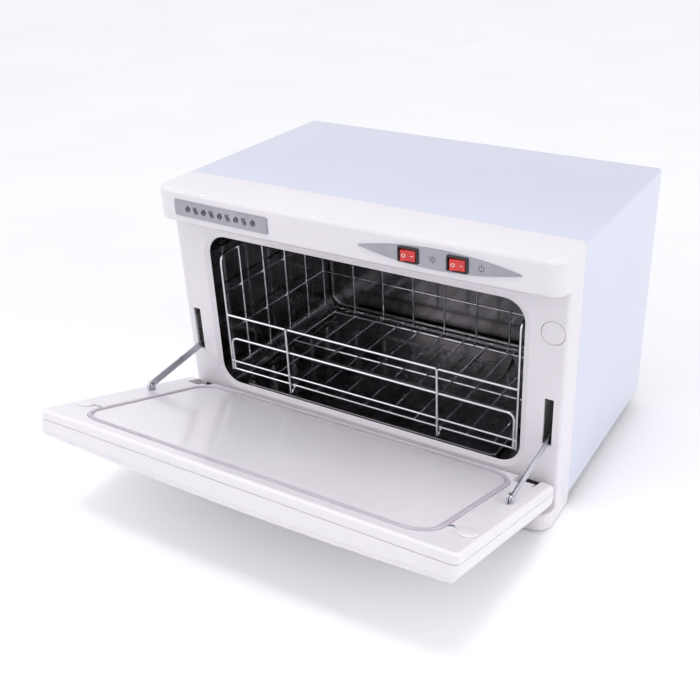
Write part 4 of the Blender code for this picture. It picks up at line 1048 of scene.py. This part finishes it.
def basket_welds(side_x, front, back, top):
    """Small beads where the wires cross."""
    bead = turned([(0.0006, -0.0012), (0.0016, -0.0007), (0.0019, 0.0), (0.0016, 0.0007),
                   (0.0006, 0.0012)], 10)
    welds = []
    for sign in (-1, 1):
        for y in UPRIGHTS:
            welds += [along_x(bead, sign * (side_x - 1.1 * INFILL), y, z) for z in (top, *RAILS)]
        welds += [shifted(bead, sign * side_x * 0.994, front, z) for z in FENCE[::2]]
    for x in POSTS:
        welds += [along_y(bead, x, front - 0.0012, z) for z in FENCE]
    for x in spread(-BACK_UPRIGHT, BACK_UPRIGHT, 7):
        welds += [along_y(bead, x, back - 1.1 * INFILL, z) for z in (top, *RAILS)]
    return welds


def build_basket():
    side_x = SIDE_HIGH.x - WIRE
    front, back = SIDE_LOW.y + WIRE, SIDE_HIGH.y - WIRE
    top = SIDE_HIGH.z - WIRE
    wires = basket_walls(side_x, front, back, top) + basket_bottom(side_x, front, back)
    panels = [f"basket_{side}" for side in ("front", "left", "right", "back", "floor")]
    fixed("wire_basket", together(*wires), "chrome", *panels)
    welds = basket_welds(side_x, front, back, top)
    fixed("basket_welds", together(*welds), "chrome")


# ---- fittings on the cabinet ----------------------------------------------------------------------
def build_catch():
    r = CATCH_RADIUS
    profile = [(r, WALL - GAP), (r, 0.0006), (r - 0.0002, 0.0001), (r - 0.0007, -0.0001),
               (r - 0.0016, -0.0001), (r - 0.0020, 0.0001), (r - 0.0028, 0.0001), (r - 0.0032, -0.0001),
               (0.0020, -0.0002)]
    disc = along_y(turned(profile, 64), SLOT_X, FACE_Y + 0.0001, CATCH.z)
    fixed("catch_disc", disc, "white_plastic", "magnet_catch")


# ---- door -----------------------------------------------------------------------------------------
DOOR_AT = Matrix.Translation(HINGE_POINT) @ Matrix.Rotation(OPEN_ANGLE, 4, "X")


def on_door(made, look, node, sharp=32):
    return finished(made, "door", look, node, sharp=sharp, matrix=DOOR_AT)


def door_point(x, l, t):
    return (x, AXIS_DEPTH - t, END_GAP + l)


def end_low(t):
    """Where the half-round hinge end lies at depth t."""
    return -END_GAP - math.sqrt(max(END_RADIUS ** 2 - (t - END_RADIUS) ** 2, 0.0))


def door_ring(inset, t, low=None, bow=0.0):
    """Rounded outline of the door; bow lets the middle stand out."""
    half = DOOR_WIDTH / 2

    def place(u, v):
        return door_point(u, v, t + bow * (1 - (u / half) ** 2))

    start = end_low(t) if low is None else low
    corner = max(DOOR_CORNER - inset, 0.002)
    return rounded_ring(half - inset, start, DOOR_HEIGHT - inset, corner, place, stations=31)


def seam_rings(t, inwards):
    """Three outlines that ease the edge beside the seam, from the seam on."""
    lip = 0.0005
    rings = []
    for inset, rise in ((lip, 0.0), (0.3 * lip, 0.3 * lip), (0.0, lip)):
        at = t + inwards * rise
        rings.append(door_ring(inset, at, low=end_low(at) + inset))
    return rings


def gasket_ring(offset, t):
    half, low, high, corner = GASKET
    return rounded_ring(half + offset, low - offset, high + offset, corner + offset,
                        lambda u, v: door_point(u, v, t), stations=31)


def skin_rings():
    """Hollow outer half of the door: inside from the seam out, then outside from the seam out."""
    outside = seam_rings(DOOR_SEAM + GAP, 1)
    outside += [door_ring(0.0, DOOR_SEAM + 0.0010 * step, bow=DOOR_BOW * step / 9) for step in (2, 4, 6)]
    for inset, rise in edge_curve(DOOR_ROUND, 10)[::-1]:
        outside.append(door_ring(inset, DOOR_EDGE - rise, bow=DOOR_BOW))
    hollow = [door_ring(0.0110, DOOR_EDGE - WALL, low=HINGE_WALL + 0.0050, bow=DOOR_BOW),
              door_ring(0.0060, DOOR_EDGE - 0.0043, low=HINGE_WALL + 0.0020, bow=DOOR_BOW),
              door_ring(WALL, DOOR_SEAM + GAP, low=HINGE_WALL)]
    return hollow + outside


def inner_rings():
    """Inner half of the door, with the gasket's groove in its face and a shallow hollow behind."""
    edge = 0.0004
    eased_groove = [(-1, edge, 0.0), (-1, 0.3 * edge, 0.3 * edge), (-1, 0.0, edge), (-1, 0.0, GROOVE_DEPTH),
                    (1, 0.0, GROOVE_DEPTH), (1, 0.0, edge), (1, 0.3 * edge, 0.3 * edge), (1, edge, 0.0)]
    rings = [gasket_ring(side * (GROOVE_HALF + wider), t) for side, wider, t in eased_groove]
    rings += [door_ring(inset, rise) for inset, rise in edge_curve(DOOR_SOFT, 9)]
    rings += [door_ring(0.0, t) for t in spread(DOOR_SOFT, DOOR_SEAM, 5)[1:-1]]
    rings += seam_rings(DOOR_SEAM, -1)[::-1]
    rings.append(door_ring(WALL, DOOR_SEAM, low=HINGE_WALL))
    return rings + [door_ring(WALL, GROOVE_DEPTH + WALL, low=HINGE_WALL)]


def build_door():
    skin = shape("door_skin", loft(skin_rings()))
    inner = shape("door_inner", loft(inner_rings()))
    notch = boxed(door_point(NOTCH[0], -0.0200, 0.0600), door_point(NOTCH[1], NOTCH_DEPTH, -0.0200))
    eye_slot = boxed(door_point(EYE_X[0] - 0.0004, STAY_L - EYE_RADIUS - 0.0004, EYE_FOOT + 0.0020),
                     door_point(EYE_X[1] + 0.0004, STAY_L + EYE_RADIUS + 0.0004, -0.0050))
    for sign in (-1, 1):
        carved(skin, sided(notch, sign))
        carved(inner, sided(notch, sign))
        carved(inner, sided(eye_slot, sign))
    on_door(skin, "white_plastic", "door_shell", 40)
    on_door(inner, "white_plastic", "door_liner", 40)

    half = 0.0024
    section = [(-half, 0.0019), (-half, -0.0002)]
    section += [(half * math.cos(math.radians(a)), -0.0002 - 0.0012 * math.sin(math.radians(a)))
                for a in range(162, 0, -18)]
    section += [(half, -0.0002), (half, 0.0019)]
    seal = shape("door_seal", loft([gasket_ring(offset, t) for offset, t in section], closed=True))
    on_door(seal, "seal_rubber", "door_gasket")


def knuckle_solid():
    """Barrel round the hinge axis with a web up to the notch's floor, as one section run along x."""
    back, front = 0.0100, -0.0075
    top = END_GAP + NOTCH_DEPTH - GAP
    start = math.degrees(math.acos(back / KNUCKLE_RADIUS))
    stop = math.degrees(math.acos(front / KNUCKLE_RADIUS)) - 360
    section = arc((0.0, 0.0), KNUCKLE_RADIUS, start, stop, 48) + [(front, top), (back, top)]
    return extruded(section, *KNUCKLE_X)


def build_door_fittings():
    """Hinge knuckles, strike pads and screws."""
    head = crossed_screw(0.0029, 0.0011, 0.0013, 0.0070)
    pad = turned([(0.0095, GAP), (0.0095, 0.0006), (0.0092, 0.0010), (0.0086, 0.0013), (0.0070, 0.0015),
                  (0.0066, 0.0014), (0.0062, 0.0014), (0.0058, 0.0016), (0.0010, 0.0017)], 64)
    bore = along_x(turned([(PIN_HOLE, KNUCKLE_X[0] - 0.002), (PIN_HOLE, KNUCKLE_X[1] + 0.002)], 24))
    for side, sign in SIDES:
        knuckle = eased(shape(f"knuckle_{side}", sided(knuckle_solid(), sign)), 0.0008)
        carved(knuckle, sided(bore, sign))
        on_door(knuckle, "white_plastic", f"hinge_knuckle_{side}", 40)
        strike = along_y(pad, *door_point(sign * SLOT_X, PAD_L, 0.0))
        on_door(shape(f"strike_disc_{side}", strike), "white_plastic", f"strike_pad_{side}")
        screw = along_y(moved(head, Matrix.Rotation(0.5, 4, "Z")), *door_point(sign * SCREW_X, SCREW_L, 0.0))
        on_door(shape(f"liner_screw_{side}", screw), "bright_steel", f"door_screw_{side}")


# ---- stays ----------------------------------------------------------------------------------------
def build_eyes():
    """Folded eye behind the door's liner and the rivet through it."""
    _, pivot_y, pivot_z = door_point(0.0, STAY_L, -STAY_RISE)
    foot_y = AXIS_DEPTH - EYE_FOOT
    foot_low = foot_y - 0.0012
    outline = arc((pivot_y, pivot_z), EYE_RADIUS, 90, -90, 20)
    outline += [(foot_low, pivot_z - EYE_RADIUS), (foot_low, pivot_z + EYE_RADIUS)]
    eye = extruded(outline, *EYE_X)
    foot = boxed((EYE_X[0] - 0.0070, foot_low, pivot_z - 0.0080),
                 (EYE_X[1] - 0.0005, foot_y, pivot_z + 0.0080))
    rivet = turned([(0.0014, -0.0004), (0.0026, -0.0002), (0.0032, 0.0003), (0.0032, 0.0007),
                    (0.0017, 0.0007), (0.0017, 0.0053), (0.0032, 0.0053), (0.0031, 0.0057),
                    (0.0024, 0.0061), (0.0012, 0.0063)], 32)
    for side, sign in SIDES:
        bracket = shape(f"stay_ear_{side}", sided(eye, sign))
        carved(bracket, sided(foot, sign), operation="UNION")
        on_door(eased(bracket, 0.0003), "bright_steel", f"stay_bracket_{side}")
        pin = shape(f"stay_pin_{side}", sided(along_x(rivet, EYE_X[0] - 0.0010, pivot_y, pivot_z), sign))
        on_door(pin, "bright_steel", f"stay_rivet_{side}")


def build_stays():
    """Flat strips with rolled edges, each carried by a roller at its rear end."""
    roller_at = middle("stay_roller_right") + ORIGIN
    slope = math.atan2(roller_at.z - PIVOT_POINT.z, roller_at.y - PIVOT_POINT.y)
    at = Matrix.Translation((0.0, PIVOT_POINT.y, PIVOT_POINT.z)) @ Matrix.Rotation(slope, 4, "X")
    outline = arc((0.0, 0.0), STAY_HALF, 270, 90, 20) + arc((STAY_LENGTH, 0.0), STAY_HALF, 90, -90, 20)
    roller = turned([(0.0020, 0.0), (0.0028, 0.0002), (0.0030, 0.0005), (0.0030, 0.0007),
                     (0.0015, 0.0007), (0.0015, 0.0033), (0.0029, 0.0033), (0.0032, 0.0036),
                     (0.0032, 0.0062), (0.0029, 0.0065)], 32)
    for side, sign in SIDES:
        strip = eased(shape(f"stay_strip_{side}", sided(extruded(outline, *ARM_X), sign)), 0.0004)
        finished(strip, f"{side}_stay", "bright_steel", f"stay_arm_{side}", matrix=at)
        wheel = shape(f"stay_wheel_{side}", sided(along_x(roller, ARM_X[0] - 0.0009, STAY_LENGTH, 0.0), sign))
        finished(wheel, f"{side}_stay", "bright_steel", f"stay_roller_{side}", matrix=at)


# ---- CAD nodes that stay --------------------------------------------------------------------------
def dress_kept_nodes():
    """Give each CAD node that still shows its material, welded corners and a fine edge."""
    for name, node in frame["nodes"].items():
        node.data.materials.clear()
        # Nodes of the black_steel slot, the hinge brackets, come out near-black: painted shade in the notches
        # beside the knuckles.
        node.data.materials.append(LOOKS[SLOTS[name]])
        if node.hide_render:
            continue
        weld = node.modifiers.new("weld", "WELD")
        weld.merge_threshold = 0.00001
        bevelled(node, 0.00015, 2, 50).harden_normals = True


# ---- studio ---------------------------------------------------------------------------------------
def panel_light(name, at, target, size, power, colour=(1, 1, 1), spread=180):
    lamp = bpy.data.lights.new(name, "AREA")
    lamp.shape = "RECTANGLE"
    lamp.size, lamp.size_y = size
    lamp.energy = power
    lamp.color = colour
    lamp.spread = math.radians(spread)
    made = bpy.data.objects.new(name, lamp)
    bpy.context.scene.collection.objects.link(made)
    made.location = at
    made.rotation_euler = (Vector(target) - Vector(at)).to_track_quat("-Z", "Y").to_euler()


def build_floor():
    floor = shape("floor", boxed((-9.0, -9.0, -0.01), (9.0, 9.0, 0.0)))
    look = Surface("pale_floor")
    look.colour(look.noise(3, 2), (0.4, (0.93, 0.93, 0.935)), (0.6, (0.95, 0.95, 0.955)))
    look.gloss(look.noise(40, 3), (0.3, 0.6), (0.7, 0.7))
    floor.data.materials.append(look.made)


def build_lights():
    """Even white surroundings, a wide panel above and behind, and three smaller ones round the front."""
    world = bpy.data.worlds.new("studio")
    world.use_nodes = True
    backdrop = world.node_tree.nodes["Background"]
    backdrop.inputs["Color"].default_value = (0.97, 0.97, 1.0, 1.0)
    backdrop.inputs["Strength"].default_value = 0.93
    bpy.context.scene.world = world
    rosy = (1.0, 0.985, 1.0)
    panel_light("overhead", (-0.3, 1.0, 3.5), (-0.3, 1.0, 0.0), (10.0, 10.0), 40, (0.95, 0.97, 1.0))
    panel_light("front_top", (0.0, -0.36, 1.3), (0.0, -0.16, 0.03), (0.9, 0.3), 0.34, rosy, 30)
    panel_light("key", (-1.15, -1.15, 0.95), (-0.1, 0, 0.12), (1.2, 0.9), 3.4, rosy)
    panel_light("side", (2.0, 0.1, 0.8), (0.2, 0.1, 0.12), (1.6, 1.2), 7.6, (1.0, 0.98, 1.0))


def build_camera():
    """Above the cabinet's front right corner, turned to the left and tilted down, level but for a touch."""
    scene = bpy.context.scene
    scene.view_settings.view_transform = "Standard"
    lens = bpy.data.cameras.new("camera")
    lens.lens = 48.03
    lens.sensor_width = 36.0
    lens.shift_x = -0.0975
    lens.shift_y = -0.0117
    camera = bpy.data.objects.new("camera", lens)
    scene.collection.objects.link(camera)
    left_turn, down_tilt, roll = 0.511, 0.489, -0.015
    place = ORIGIN + Vector((0.466355, -0.734616, 0.579846))
    aim = Matrix.Rotation(left_turn, 4, "Z") @ Matrix.Rotation(math.pi / 2 - down_tilt, 4, "X")
    camera.matrix_world = Matrix.Translation(place) @ aim @ Matrix.Rotation(roll, 4, "Z")
    scene.camera = camera


for build in (build_fascia, build_name_plate, build_switch_plate, build_switches, build_casing,
              build_rear_panel, build_rear_screws, build_gland, build_feet, build_chamber, build_tray,
              build_lamp, build_sockets, build_basket, build_catch, build_door, build_door_fittings,
              build_eyes, build_stays, dress_kept_nodes, build_floor, build_lights, build_camera):
    build()
